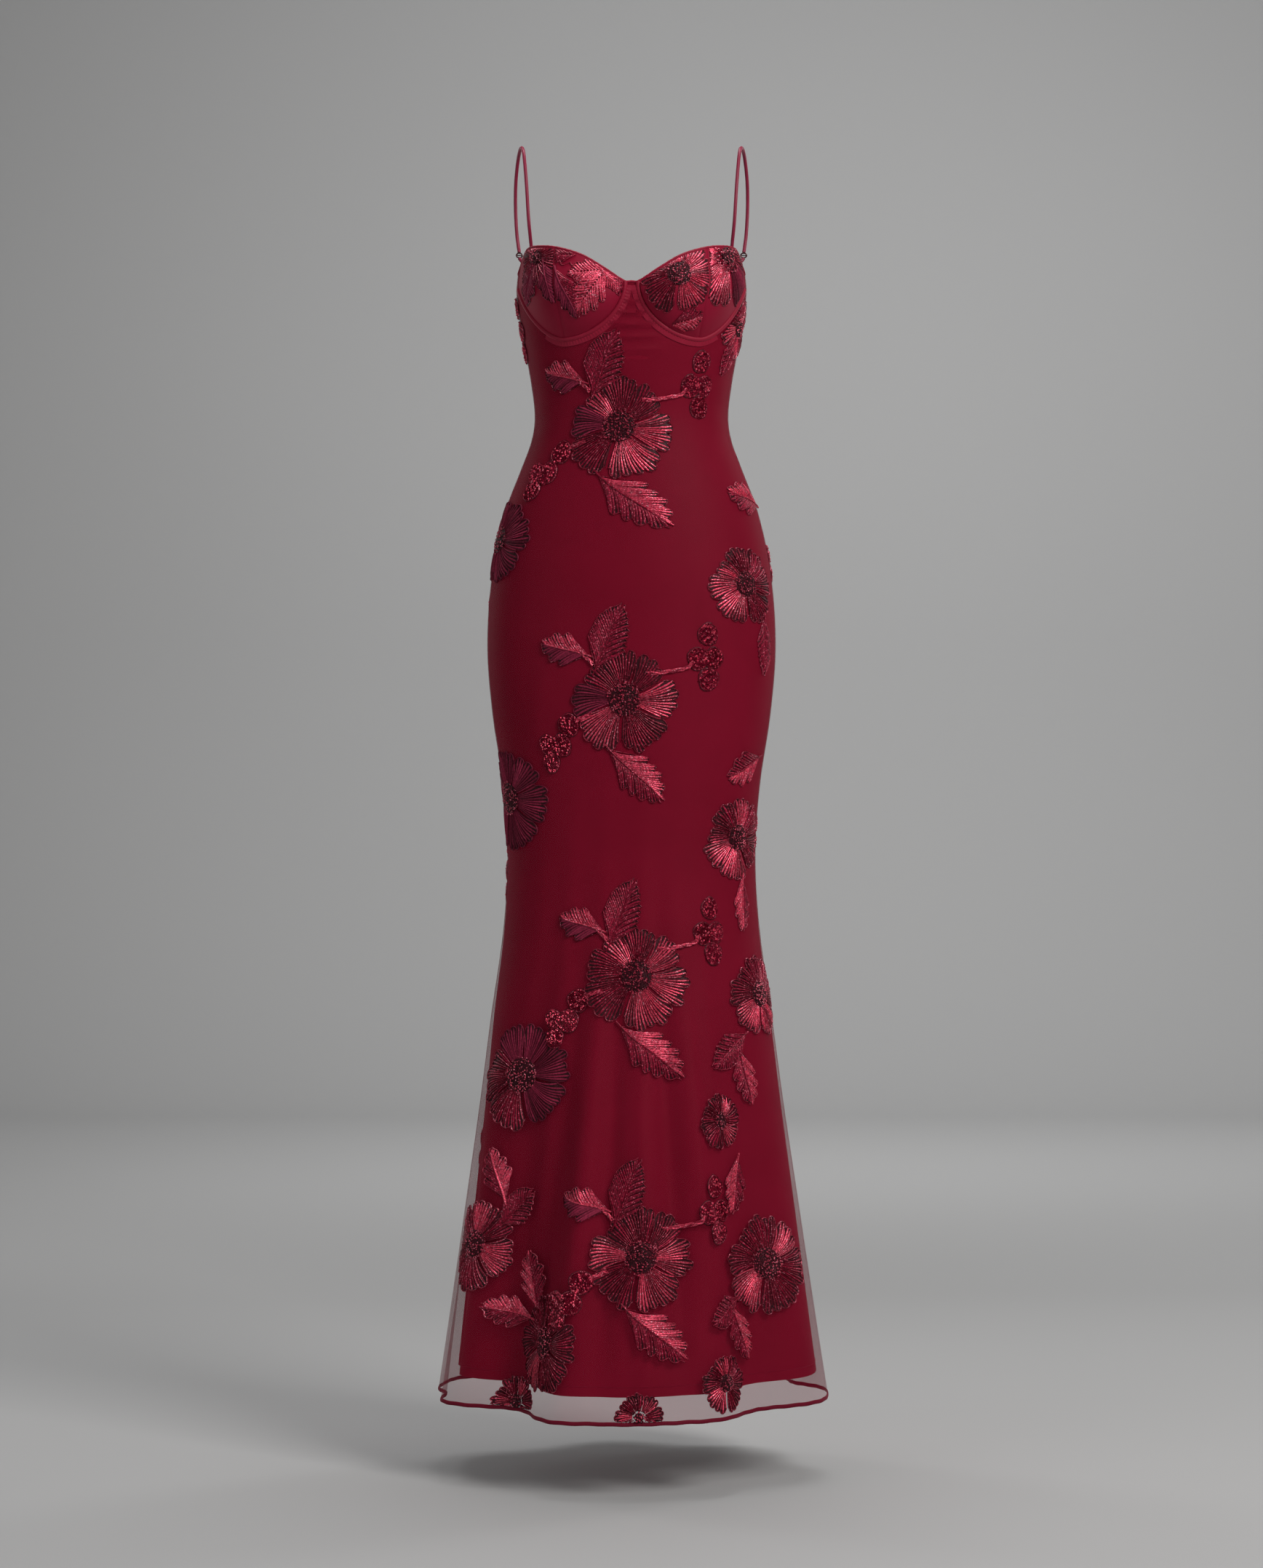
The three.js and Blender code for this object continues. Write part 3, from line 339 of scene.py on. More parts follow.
def cloud(material, scale, detail=3, roughness=0.5):
    """Soft noise through the solid."""
    inputs = {"Scale": scale, "Detail": detail, "Roughness": roughness}
    return add_node(
        material, "TexNoise", inputs=inputs, links={"Vector": solid_place(material)}
    ).outputs["Fac"]


def join(material, operation, *amounts):
    """Several amounts joined into one, two at a time."""
    joined = amounts[0]
    for other in amounts[1:]:
        node = add_node(material, "Math", {"operation": operation}, links={0: joined, 1: other})
        joined = node.outputs["Value"]
    return joined


def stretch(material, amount, low, high, top=1.0):
    """An amount stretched to run from nothing at a low value to the top at a high one."""
    inputs = {"From Min": low, "From Max": high, "To Max": top}
    return add_node(material, "MapRange", inputs=inputs, links={"Value": amount}).outputs["Result"]


def two_tones(material, amount, first, second):
    """A colour that runs from one tone to another as an amount grows."""
    mixed = add_node(material, "Mix", {"data_type": "RGBA"}, links={0: amount})
    mixed.inputs[6].default_value = (*first, 1)
    mixed.inputs[7].default_value = (*second, 1)
    return mixed.outputs[2]


POLISH = 0.06


def raise_grain(material, shader, height, strength, distance):
    """A grain that stands out, and is a little smoother on its high places than in its low ones."""
    inputs = {"Strength": strength, "Distance": distance}
    bump = add_node(material, "Bump", inputs=inputs, links={"Height": height})
    connect(material, bump.outputs["Normal"], shader, "Normal")
    roughness = shader.inputs["Roughness"].default_value
    inputs = {"To Min": roughness + POLISH, "To Max": roughness - POLISH}
    rubbed = add_node(material, "MapRange", inputs=inputs, links={"Value": height})
    connect(material, rubbed.outputs["Result"], shader, "Roughness")


def dyed_finish(name, colour, roughness, tones, dye, grain, strength, distance=0.0004, **fixed):
    """A finish dyed between two tones by one amount, and grained by another, or by the same one."""
    material, shader = new_finish(name, colour, roughness, **fixed)
    amount = dye(material)
    connect(material, two_tones(material, amount, *tones), shader, "Base Color")
    raise_grain(material, shader, grain(material) if grain else amount, strength, distance)
    return material


# Smooth jersey: fine knit ribs, faint cross courses and a soft uneven dye.
jersey = dyed_finish(
    "lining_jersey", (0.300, 0.005, 0.026), 0.62, [(0.235, 0.0033, 0.019), (0.300, 0.0055, 0.028)],
    lambda m: stretch(m, cloud(m, 14, 4, 0.6), 0.25, 0.75),
    lambda m: join(m, "MULTIPLY", bands(m, "X", 330, 0.6), bands(m, "Y", 420, 0.5)), 0.025,
    Sheen_Weight=0.08, Sheen_Roughness=0.45, Sheen_Tint=(0.9, 0.12, 0.22, 1), Specular_IOR_Level=0.08,
)
LINING_HEM_LIFT = 0.030
LINING_DEPTH = 0.0009
LINING_THICK = 0.0006
LINING_FREE_FROM = -0.86
LINING_FREE_DEPTH, LINING_RIGHT_DEPTH = 0.009, 0.011
SEAM_DIP_WIDE = 0.0017


def lining_depth(angle, height):
    """How far inside the mesh the lining hangs: more on the wearer's right of the flare."""
    free = np.clip((LINING_FREE_FROM - height) / (LINING_FREE_FROM - HEM), 0, 1)
    right_side = np.maximum(0, -np.sin(np.radians(angle)))
    return LINING_DEPTH + free**1.4 * (LINING_FREE_DEPTH + LINING_RIGHT_DEPTH * right_side**2)


def seam_dip(angle, seams, deep):
    """The cloth is drawn in along its seams."""
    beside = (turn_between(seam, angle) * METRES_PER_DEGREE / SEAM_DIP_WIDE for seam in seams)
    return sum(deep * np.exp(-(away**2)) for away in beside)


def cloth_flat(angle, height):
    return np.stack([angle * METRES_PER_DEGREE, height], -1)


SEAMS = {"front": (-90, 90), "back_left": (90, 180), "back_right": (180, 270)}


def panel_columns(word, step):
    return front_columns(step) if word == "front" else back_columns(*SEAMS[word], step)


# Level gathers at the gore, taken up in both layers: height, half width and how far each stands out.
GORE_GATHERS = [
    (-0.178, 0.0026, 0.0008), (-0.188, 0.0026, 0.0013), (-0.201, 0.0022, 0.0021),
    (-0.214, 0.0030, 0.0025), (-0.228, 0.0028, 0.0018), (-0.243, 0.0038, 0.0013),
]


def gore_gathers(angle, height):
    """Low level gathers across the gore, which fade out under the cups."""
    reach = np.exp(-((angle / (8 + 90 * np.clip(WIRE_TOP - height, 0, 0.08))) ** 4))
    sag = 0.0015 * np.cos(np.radians(angle * 9))
    return reach * sum(
        high * np.exp(-(((height - level + sag) / wide) ** 2)) for level, wide, high in GORE_GATHERS
    )


for word, seams in SEAMS.items():
    step, fan_rows = (2.0, 34) if word == "front" else (2.6, 12)
    angle, height = panel_grid(panel_columns(word, step), LINING_HEM_LIFT, 0.014, fan_rows)
    depth = lining_depth(angle, height) + seam_dip(angle, seams, 0.0005)
    if word == "front":
        depth = depth - gore_gathers(angle, height)
    piece = sew_shell(
        f"lining_{word}_jersey", on_body(angle, height, -depth),
        on_body(angle, height, -depth - LINING_THICK), jersey, cloth_flat(angle, height),
    )
    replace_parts(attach(piece, "dress"), f"lining_{word}")

# Mesh layer
# The outer layer: three panels of fine sheer mesh, embroidered before they are cut. It is gathered
# a little at the gore between the cups, and falls in soft folds from the knee.

MESH_THICK = 0.0004
# Fine net: a lattice of threads that the light passes, so what lies behind shows through.
sheer_mesh = dyed_finish(
    "sheer_mesh", (0.32, 0.008, 0.034), 0.55, [(0.25, 0.0058, 0.027), (0.32, 0.0088, 0.036)],
    lambda m: cloud(m, 9),
    lambda m: join(m, "MAXIMUM", *(bands(m, way, 260) for way in ("X", "Y", "DIAGONAL"))), 0.015, 0.0003,
    Alpha=0.21, Sheen_Weight=0.09, Sheen_Roughness=0.4, Sheen_Tint=(0.95, 0.15, 0.25, 1),
    Specular_IOR_Level=0.08,
)
for word, seams in SEAMS.items():
    columns = panel_columns(word, 1.5)
    angle, height = panel_grid(columns, 0.001, 0.009, 36 if word == "front" else 12)
    lift = -seam_dip(angle, seams, 0.0006)
    if word == "front":
        lift = lift + gore_gathers(angle, height)
    piece = sew_shell(
        f"mesh_{word}", on_body(angle, height, lift), on_body(angle, height, lift - MESH_THICK),
        sheer_mesh, cloth_flat(angle, height),
    )
    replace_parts(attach(piece, "dress"), f"overlay_{word}")

# Cups
# Two moulded foam pieces for each cup, covered in the mesh and its lining, and joined by a seam
# down over the fullest part. They stand forward of the body line.

CUP_RISE = 0.034
CUP_FOAM = 0.003
CUP_SEAM_TOP, CUP_SEAM_BOTTOM = 42.0, 38.0
CUP_SEAM_DEEP, CUP_SEAM_WIDE = 0.0011, 0.0016
CUP_SIDE = WIRE_END - 0.05
CUP_SEAM_GAP = 0.4


def cup_seam(height):
    up = np.clip((height - (WIRE_TOP - WIRE_DROP)) / WIRE_DROP, 0, 1)
    return CUP_SEAM_BOTTOM + (CUP_SEAM_TOP - CUP_SEAM_BOTTOM) * up


def cup_rise(angle, height):
    side = np.abs(angle)
    low = wire_height(side)
    across = np.clip((side - WIRE_START) / (WIRE_END - WIRE_START), 0, 1)
    up = np.clip((height - low) / np.maximum(neck_height(side) - low, 0.004), 0, 1)
    fullness = (1 - (2 * across - 1) ** 2) ** 0.7
    return CUP_RISE * fullness * (1 - (1 - up) ** 3) * (1 - 0.6 * up * up)


def on_cup(angle, height, out=0.0):
    """Places on the moulded cup, which is drawn in along its seam."""
    beside = (np.abs(angle) - cup_seam(height)) * METRES_PER_DEGREE
    place = on_body(angle, height, out - CUP_SEAM_DEEP * np.exp(-((beside / CUP_SEAM_WIDE) ** 2)))
    place[..., 1] -= cup_rise(angle, height)
    return place


# The cup's cover: mesh drawn smooth over jersey and foam, so it is opaque.
cup_cloth = dyed_finish(
    "cup_cloth", (0.300, 0.005, 0.028), 0.58, [(0.245, 0.0042, 0.024), (0.310, 0.0068, 0.034)],
    lambda m: cloud(m, 20), lambda m: join(m, "MAXIMUM", bands(m, "X", 300), bands(m, "Y", 300)), 0.06,
    Sheen_Weight=0.10, Sheen_Roughness=0.4, Sheen_Tint=(0.9, 0.15, 0.25, 1), Specular_IOR_Level=0.12,
)


def cup_columns(inner):
    """Angle and lowest height of each column of a cup piece, from the gore side outwards."""
    angle, low = beside_wire(np.linspace(0, 1, 90), PANEL_TUCK)
    angle = np.minimum(angle, CUP_SIDE)
    seam = cup_seam(low)
    kept = angle < seam - CUP_SEAM_GAP if inner else angle > seam + CUP_SEAM_GAP
    near = CUP_SEAM_BOTTOM + (-1 if inner else 1) * np.array([0.3, 0.12, 0.02])
    near_low = np.full(3, WIRE_TOP - WIRE_DROP + PANEL_TUCK)
    if inner:
        return np.append(angle[kept], near), np.append(low[kept], near_low)
    # The outer piece reaches the side seam above the wire's end.
    angles = np.concatenate([near[::-1], angle[kept], [CUP_SIDE]])
    return angles, np.concatenate([near_low, low[kept], [WIRE_TOP]])


for word, side in (("left", 1), ("right", -1)):
    for part in ("inner", "outer"):
        angle, low = cup_columns(part == "inner")
        share = np.linspace(0, 1, 30)[:, None]
        height = low + (neck_height(angle) - low) * share
        lean = cup_seam(height) - CUP_SEAM_BOTTOM
        toward = np.clip((angle - WIRE_START) / (CUP_SEAM_BOTTOM - WIRE_START), 0, 1)
        away = np.clip((WIRE_END - angle) / (WIRE_END - CUP_SEAM_BOTTOM), 0, 1)
        angle = angle + lean * (toward if part == "inner" else away)
        height = low + (neck_height(angle) - low) * share
        if side < 0:
            angle, height = -angle[:, ::-1], height[:, ::-1]
        piece = sew_shell(
            f"cup_{part}_{word}_foam", on_cup(angle, height), on_cup(angle, height, -CUP_FOAM),
            cup_cloth, cloth_flat(angle, height),
        )
        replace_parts(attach(piece, "dress"), f"cup_{part}_{word}")

# Wire casings
# A stuffed channel of the cloth round the foot of each cup, which holds the bust wire. Its lower
# edge is gathered on to the front panel in fine ticks from the gore to the lowest point.

CASING_RADIUS = 0.0031
CASING_DEPTH = -0.0006
TICK_PITCH = 0.0036
GATHER_END = 0.6
FLANGE_FROM, FLANGE_WIDE = 0.0022, 0.006
TUBE_CREASE = 60


def run_length(line):
    """How far along a line each of its points is."""
    return np.concatenate([[0], np.cumsum(np.linalg.norm(np.diff(line, axis=0), axis=1))])


def tube_faces(rows, sides):
    """The faces between the rings of a tube, and a cap at each end."""
    corner = np.arange(rows * sides).reshape(rows, sides)
    after = np.roll(corner, -1, 1)
    faces = np.stack([corner[:-1], corner[1:], after[1:], after[:-1]], -1).reshape(-1, 4)
    return [faces, corner[:1], corner[-1:, ::-1]]


def run_tube(name, line, radius, sides, finish):
    """A round tube along a line of points; radius may be one number or one row for each point."""
    along = np.gradient(line, axis=0)
    along /= np.linalg.norm(along, axis=1)[:, None]
    side = np.cross(along, (0.0, 0.0, 1.0))
    weak = np.linalg.norm(side, axis=1) < 0.2
    side[weak] = np.cross(along[weak], (0.0, 1.0, 0.0))
    for i in range(1, len(side)):
        side[i] = side[i - 1] - along[i] * np.dot(side[i - 1], along[i])
        side[i] /= np.linalg.norm(side[i])
    side[0] /= np.linalg.norm(side[0])
    up = np.cross(side, along)
    turn = np.linspace(0, 2 * math.pi, sides, endpoint=False)
    radius = np.broadcast_to(radius, (len(line), sides))[..., None]
    ring = side[:, None] * np.cos(turn)[:, None] + up[:, None] * np.sin(turn)[:, None]
    points = line[:, None] + ring * radius
    flat = np.stack(np.broadcast_arrays(turn * 0.003, run_length(line)[:, None]), -1)
    return sew_mesh(name, points, tube_faces(len(line), sides), [finish], flat, crease=TUBE_CREASE)


# The casing's smooth matt cloth, a little unevenly dyed.
casing_cloth = dyed_finish(
    "casing_cloth", (0.30, 0.006, 0.030), 0.5, [(0.24, 0.0045, 0.022), (0.36, 0.010, 0.042)],
    lambda m: cloud(m, 60), lambda m: cloud(m, 900), 0.35, Sheen_Weight=0.25, Sheen_Roughness=0.35,
    Sheen_Tint=(0.95, 0.25, 0.35, 1), Specular_IOR_Level=0.2,
)
for word, side in (("left", 1), ("right", -1)):
    share = np.linspace(0, 1, 170)
    angle, height = wire_line(share)
    line = on_body(angle * side, height, CASING_DEPTH)
    gathered = np.clip((GATHER_END + 0.02 - share) / 0.1, 0.15, 1)
    tick = 1 + 0.035 * gathered * np.sin(2 * math.pi * run_length(line) / TICK_PITCH)
    radius = (CASING_RADIUS * tick)[:, None]
    tube = run_tube(f"wire_casing_{word}_cloth", line, radius, 14, casing_cloth)
    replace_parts(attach(tube, "dress"), f"wire_casing_{word}")
    # The gathered edge below the casing, as a narrow flange on the panel.
    share = np.linspace(0.02, GATHER_END, 220)
    strength = np.clip(np.minimum(share / 0.06, (GATHER_END - share) / 0.08), 0, 1)
    distance = np.linspace(FLANGE_FROM, FLANGE_FROM + FLANGE_WIDE, 6)[:, None]
    angle, height = beside_wire(np.broadcast_to(share, (6, 220)), -distance)
    gone = run_length(on_body(angle[0] * side, height[0]))
    ripple = 0.5 + 0.5 * np.sin(2 * math.pi * gone / TICK_PITCH)
    fade = 1 - (distance - FLANGE_FROM) / FLANGE_WIDE
    lift = 0.00035 + 0.0009 * fade * strength * (0.35 + 0.65 * ripple)
    outer, inner = on_body(angle * side, height, lift), on_body(angle * side, height, 0.00005)
    if side > 0:
        outer, inner = outer[::-1], inner[::-1]
    flange = sew_shell(f"casing_gathers_{word}", outer, inner, casing_cloth, cloth_flat(angle, height))
    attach(flange, "dress")

# Neck binding
# A narrow strip of the cloth folded over the raw top edge of the cups, the gore, the wings and the
# back, and stitched down. It stands as a fine rounded edge that catches the light.

BINDING_TALL = 0.0027
BINDING_LIFT = 0.0002
CUP_BINDING_THICK, BACK_BINDING_THICK = 0.0041, 0.0026


def bind_edge(name, place, angle, level, out, tall, thick, finish):
    """An oval roll of cloth along an edge of the dress."""
    turn = np.linspace(0, 2 * math.pi, 12, endpoint=False)
    level, out, thick = (np.broadcast_to(v, angle.shape)[:, None] for v in (level, out, thick))
    heights = level + tall / 2 * np.sin(turn)
    points = place(angle[:, None], heights, out + thick / 2 * np.cos(turn))
    flat = cloth_flat(np.broadcast_to(angle[:, None], heights.shape), heights)
    return sew_mesh(name, points, tube_faces(*heights.shape), [finish], flat, crease=TUBE_CREASE)


BINDING_RUNS = {"front": (-89.9, 89.9), "back_left": (90.1, 179.85), "back_right": (180.15, 269.9)}
for word, (start, end) in BINDING_RUNS.items():
    angle = np.linspace(start, end, int((end - start) / 0.9))
    on_foam = 1 / (1 + np.exp((np.abs(turn_between(0, angle)) - WIRE_END) / 0.8))
    on_foam = on_foam * np.clip((np.abs(angle) - 3.4) / 2, 0, 1)
    thick = BACK_BINDING_THICK + (CUP_BINDING_THICK - BACK_BINDING_THICK) * on_foam
    ripple = 0.00008 * np.sin(angle * 2.1) + 0.00006 * np.sin(angle * 5.3)
    binding = bind_edge(
        f"neck_binding_{word}", on_cup, angle, neck_height(angle) + BINDING_LIFT + ripple,
        0.00045 - thick / 2, BINDING_TALL, thick, casing_cloth,
    )
    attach(binding, "dress")

# Rolled hem
# The mesh's lower edge is rolled twice and stitched, so it is four layers thick and looks darker
# than the sheer cloth above it.

HEM_TALL, HEM_THICK = 0.0046, 0.0017
rolled_mesh = dyed_finish(
    "rolled_mesh", (0.15, 0.004, 0.017), 0.6, [(0.11, 0.003, 0.013), (0.20, 0.006, 0.026)],
    lambda m: cloud(m, 700, 4), None, 0.4, Sheen_Weight=0.15, Sheen_Roughness=0.4,
    Sheen_Tint=(0.9, 0.2, 0.3, 1), Specular_IOR_Level=0.1,
)
for word, (start, end) in SEAMS.items():
    angle = np.linspace(start + 0.1, end - 0.1, int((end - start) / 1.2))
    level = hem_height(angle) + HEM_TALL / 2 + 0.00025 * np.sin(angle * 0.9)
    roll = bind_edge(
        f"rolled_hem_{word}", on_body, angle, level, -0.0002, HEM_TALL, HEM_THICK, rolled_mesh
    )
    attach(roll, "dress")

# Embroidery
# Flowers, leaves, berries and stems, embroidered on the mesh before it is cut: thick satin and metallic
# thread, laid cord by cord over a dark filling that is partly painted shade between and round the
# cords, with knotted hearts and a fine bright edging. The threads' colours carry painted highlights,
# painted shade and painted glints.

THREAD_BED = 0.00015
# The cut of a cord: places across it, and how high each stands. A fine one has only a ridge.
ROUND_CORD = np.array([(-0.5, 0.0), (-0.36, 0.72), (0.0, 1.0), (0.36, 0.72), (0.5, 0.0)])
FINE_CORD = np.array([(-0.5, 0.0), (0.0, 1.0), (0.5, 0.0)])
FINE_WIDTH = 0.0017
# The dark thread is real in the hearts, and is also laid as painted shade under the cords.
SATIN, DEEP, DUSKY, DARK_THREAD_AND_SHADE, EDGING = range(5)
THREAD_LETTERS = {"s": SATIN, "d": DEEP, "u": DUSKY}
random = np.random.default_rng(11)


def thread_finish(name, low, high, roughness, glint_colour, glint_from, **fixed):
    """Twisted thread: painted highlight and painted shade in dashes along every cord, its own tone, and
    painted glints.
    """
    material, shader = new_finish(name, high, roughness, **fixed)
    strand_light_and_grain = cloud(material, 460, 3, 0.6)
    # Painted highlight and painted shade: the strand noise runs the colour from the shaded tone to the lit
    # one; the same noise is the real grain in the bump.
    body = two_tones(material, stretch(material, strand_light_and_grain, 0.36, 0.64), low, high)
    tone = add_node(material, "Attribute", {"attribute_name": "tone"})
    toned = add_node(
        material, "Mix", {"data_type": "RGBA", "blend_type": "MULTIPLY"}, {0: 1.0},
        {6: body, 7: tone.outputs["Color"]},
    )
    # Painted glints: a few scattered cells of the thread are coloured bright pink.
    glint_cells = add_node(
        material, "TexVoronoi", {"feature": "F1"}, {"Scale": 900, "Randomness": 1.0},
        {"Vector": solid_place(material)},
    )
    glint_pick = add_node(material, "SeparateColor", links={"Color": glint_cells.outputs["Color"]})
    painted_glint = stretch(material, glint_pick.outputs["Red"], glint_from, glint_from + 0.08, 0.8)
    glinted = add_node(material, "Mix", {"data_type": "RGBA"}, links={0: painted_glint, 6: toned.outputs[2]})
    glinted.inputs[7].default_value = (*glint_colour, 1)
    connect(material, glinted.outputs[2], shader, "Base Color")
    raise_grain(material, shader, strand_light_and_grain, 0.6, 0.0008)
    return material


# Each thread: name, painted shade tone, painted highlight tone, roughness, painted glint colour, and the
# level above which the glints show.
thread_finishes = [
    thread_finish("satin_thread", (0.27, 0.008, 0.030), (0.84, 0.072, 0.142), 0.34,
                  (1.0, 0.36, 0.46), 0.90, Metallic=0.4, Specular_IOR_Level=0.4),
    thread_finish("deep_thread", (0.095, 0.0012, 0.010), (0.34, 0.007, 0.038), 0.42,
                  (0.85, 0.15, 0.24), 0.90, Metallic=0.25, Specular_IOR_Level=0.25),
    thread_finish("dusky_thread", (0.160, 0.010, 0.032), (0.280, 0.023, 0.058), 0.65,
                  (0.40, 0.06, 0.12), 0.96, Specular_IOR_Level=0.12),
    thread_finish("dark_thread_and_shade", (0.020, 0.0004, 0.003), (0.065, 0.0015, 0.009), 0.5,
                  (0.45, 0.05, 0.10), 0.96, Specular_IOR_Level=0.2),
    thread_finish("edging_thread", (0.15, 0.004, 0.018), (0.72, 0.060, 0.125), 0.36,
                  (0.95, 0.30, 0.40), 0.88, Metallic=0.3),
]


def new_bed(place, inside=None):
    """The cloth that a group of motifs is sewn on, and what has been sewn so far."""
    sewn = {key: [] for key in ("points", "flat", "tones", "faces", "finish")}
    return {"place": place, "inside": inside, "count": 0, **sewn}


def sew_bed(name, bed, finishes, toned=False):
    """The piece that holds all that is sewn on a bed."""
    points, flat, finish, tones = (
        np.concatenate(bed[key]) for key in ("points", "flat", "finish", "tones")
    )
    more = (finish, tones) if toned else ()
    return sew_mesh(name, points, bed["faces"], finishes, flat, *more)


def polar(away, turn):
    return away * np.cos(turn), away * np.sin(turn)


def place_on(middle, across, up):
    """The angle and height of places measured in metres across and up from a middle."""
    return middle[0] + across / round_speed(middle[0], middle[1]), middle[1] + up


def add_thread(cloth, across, up, rise, faces, finish, tones):
    """Sets threads on the cloth: across and up from a middle, and out from the mesh."""
    bed, middle = cloth
    angle, height = place_on(middle, across, up)
    bed["points"].append(bed["place"](angle, height, THREAD_BED + rise).reshape(-1, 3))
    bed["flat"].append(cloth_flat(angle, height).reshape(-1, 2))
    bed["tones"].append(np.broadcast_to(tones, across.shape).ravel())
    for part in faces:
        bed["faces"].append(part + bed["count"])
        bed["finish"].append(np.full(len(part), finish))
    bed["count"] += across.size


def lay_cords(cloth, across, up, wide, high, base, finish, tones=1.0):
    """Lays cords of thread: rows of across and up places, each with its width, height and lift."""
    if not len(across):
        return
    wide, high, base = (np.broadcast_to(v, across.shape)[..., None] for v in (wide, high, base))
    run_across, run_up = np.gradient(across, axis=1), np.gradient(up, axis=1)
    long = np.hypot(run_across, run_up) + 1e-9
    side_across, side_up = (run_up / long)[..., None], (-run_across / long)[..., None]
    cut = FINE_CORD if wide.max() <= FINE_WIDTH else ROUND_CORD
    corner = np.arange(across.size * len(cut)).reshape(*across.shape, len(cut))
    after = np.roll(corner, -1, 2)
    sides = np.stack([corner[:, :-1], after[:, :-1], after[:, 1:], corner[:, 1:]], -1).reshape(-1, 4)
    add_thread(
        cloth, across[..., None] + side_across * wide * cut[:, 0],
        up[..., None] + side_up * wide * cut[:, 0], base + high * cut[:, 1],
        [sides, corner[:, 0, ::-1], corner[:, -1]], finish,
        np.broadcast_to(np.reshape(tones, (-1, 1, 1)), (*across.shape, len(cut))),
    )


def lay_filling(cloth, across, up, high, finish):
    """Lays a low filling under a fan of cords, with its rim down on the cloth; in dark thread it is painted
    shade between the cords and round them.
    """
    if len(across) < 3:
        return
    rise = np.zeros(across.shape)
    rise[1:-1, 1:-1] = high
    faces = grid_faces(*across.shape)
    first, last, aside = faces[0][[0, 1, 3]]
    run = [np.array([a.ravel()[i] for a in (across, up)]) for i in (first, last, aside)]
    turned = np.cross(run[1] - run[0], run[2] - run[0]) < 0
    add_thread(cloth, across, up, rise, [faces[:, ::-1] if turned else faces], finish, 1.0)


def sew_knots(cloth, across, up, size, base, finish, tones):
    """Small knots, each a low cone of six sides that shades as a round one."""
    turn = np.linspace(0, 2 * math.pi, 6, endpoint=False)
    ring = np.append(np.exp(1j * turn), 0)
    level = np.append(np.zeros(6), 1.0)
    size, base = (np.broadcast_to(v, across.shape)[:, None] for v in (size, base))
    corner = np.arange(across.size * 7).reshape(-1, 7)
    low, top = corner[:, :6], corner[:, 6:]
    crown = np.stack([low, np.roll(low, -1, 1), np.repeat(top, 6, 1)], -1).reshape(-1, 3)
    add_thread(
        cloth, across[:, None] + ring.real * size, up[:, None] + ring.imag * size,
        base + level * size, [crown, low[:, ::-1]], finish,
        np.broadcast_to(np.reshape(tones, (-1, 1)), (across.size, 7)),
    )


def stays_inside(cloth, across, up):
    bed, middle = cloth
    return bed["inside"](middle, *place_on(middle, across, up))


def cut_at_edge(cloth, across, up):
    """Cuts each cord where it would leave its panel, and drops it when too little is left."""
    steps = across.shape[1]
    fine = np.linspace(0, steps - 1, 5 * steps)

    def read(values, where):
        low = np.clip(where.astype(int), 0, steps - 2)
        part = where - low
        near = np.take_along_axis(values, low, 1)
        return near + (np.take_along_axis(values, low + 1, 1) - near) * part

    where = np.broadcast_to(fine, (len(across), fine.size))
    stays = stays_inside(cloth, read(across, where), read(up, where))
    reach = np.where(stays.all(1), 1.0, (np.argmin(stays, 1) - 1) / (fine.size - 1))
    kept = reach > 0.12
    where = np.arange(steps) * reach[kept, None]
    return read(across[kept], where), read(up[kept], where), kept


def varied(count, spread=0.16):
    return 1 + spread * (2 * random.random(count) - 1)


PETAL_STEPS = np.linspace(0, 1, 7)
TIP_WIDTH = np.array([0.8, 0.95, 1, 1, 1, 0.95, 0.55])
TIP_HEIGHT = np.array([0.5, 0.9, 1, 1, 1, 0.95, 0.4])
HEART_SHARE = 0.30
GOLDEN_TURN = 137.5
CORD_PITCH, WIDEST_CORD = 0.0040, 0.0034
FINGER_SPREAD = 14
RIM_REACH = 1.08
ROUND = np.linspace(0, 2 * math.pi, 17)
# The petals of every flower: direction, spread and reach. They differ, and overlap a little.
PETALS = [(-10, 52, 1.0), (38, 46, 0.94), (88, 52, 0.92), (130, 34, 0.84), (167, 46, 0.98),
          (221, 62, 1.02), (289, 68, 0.99)]


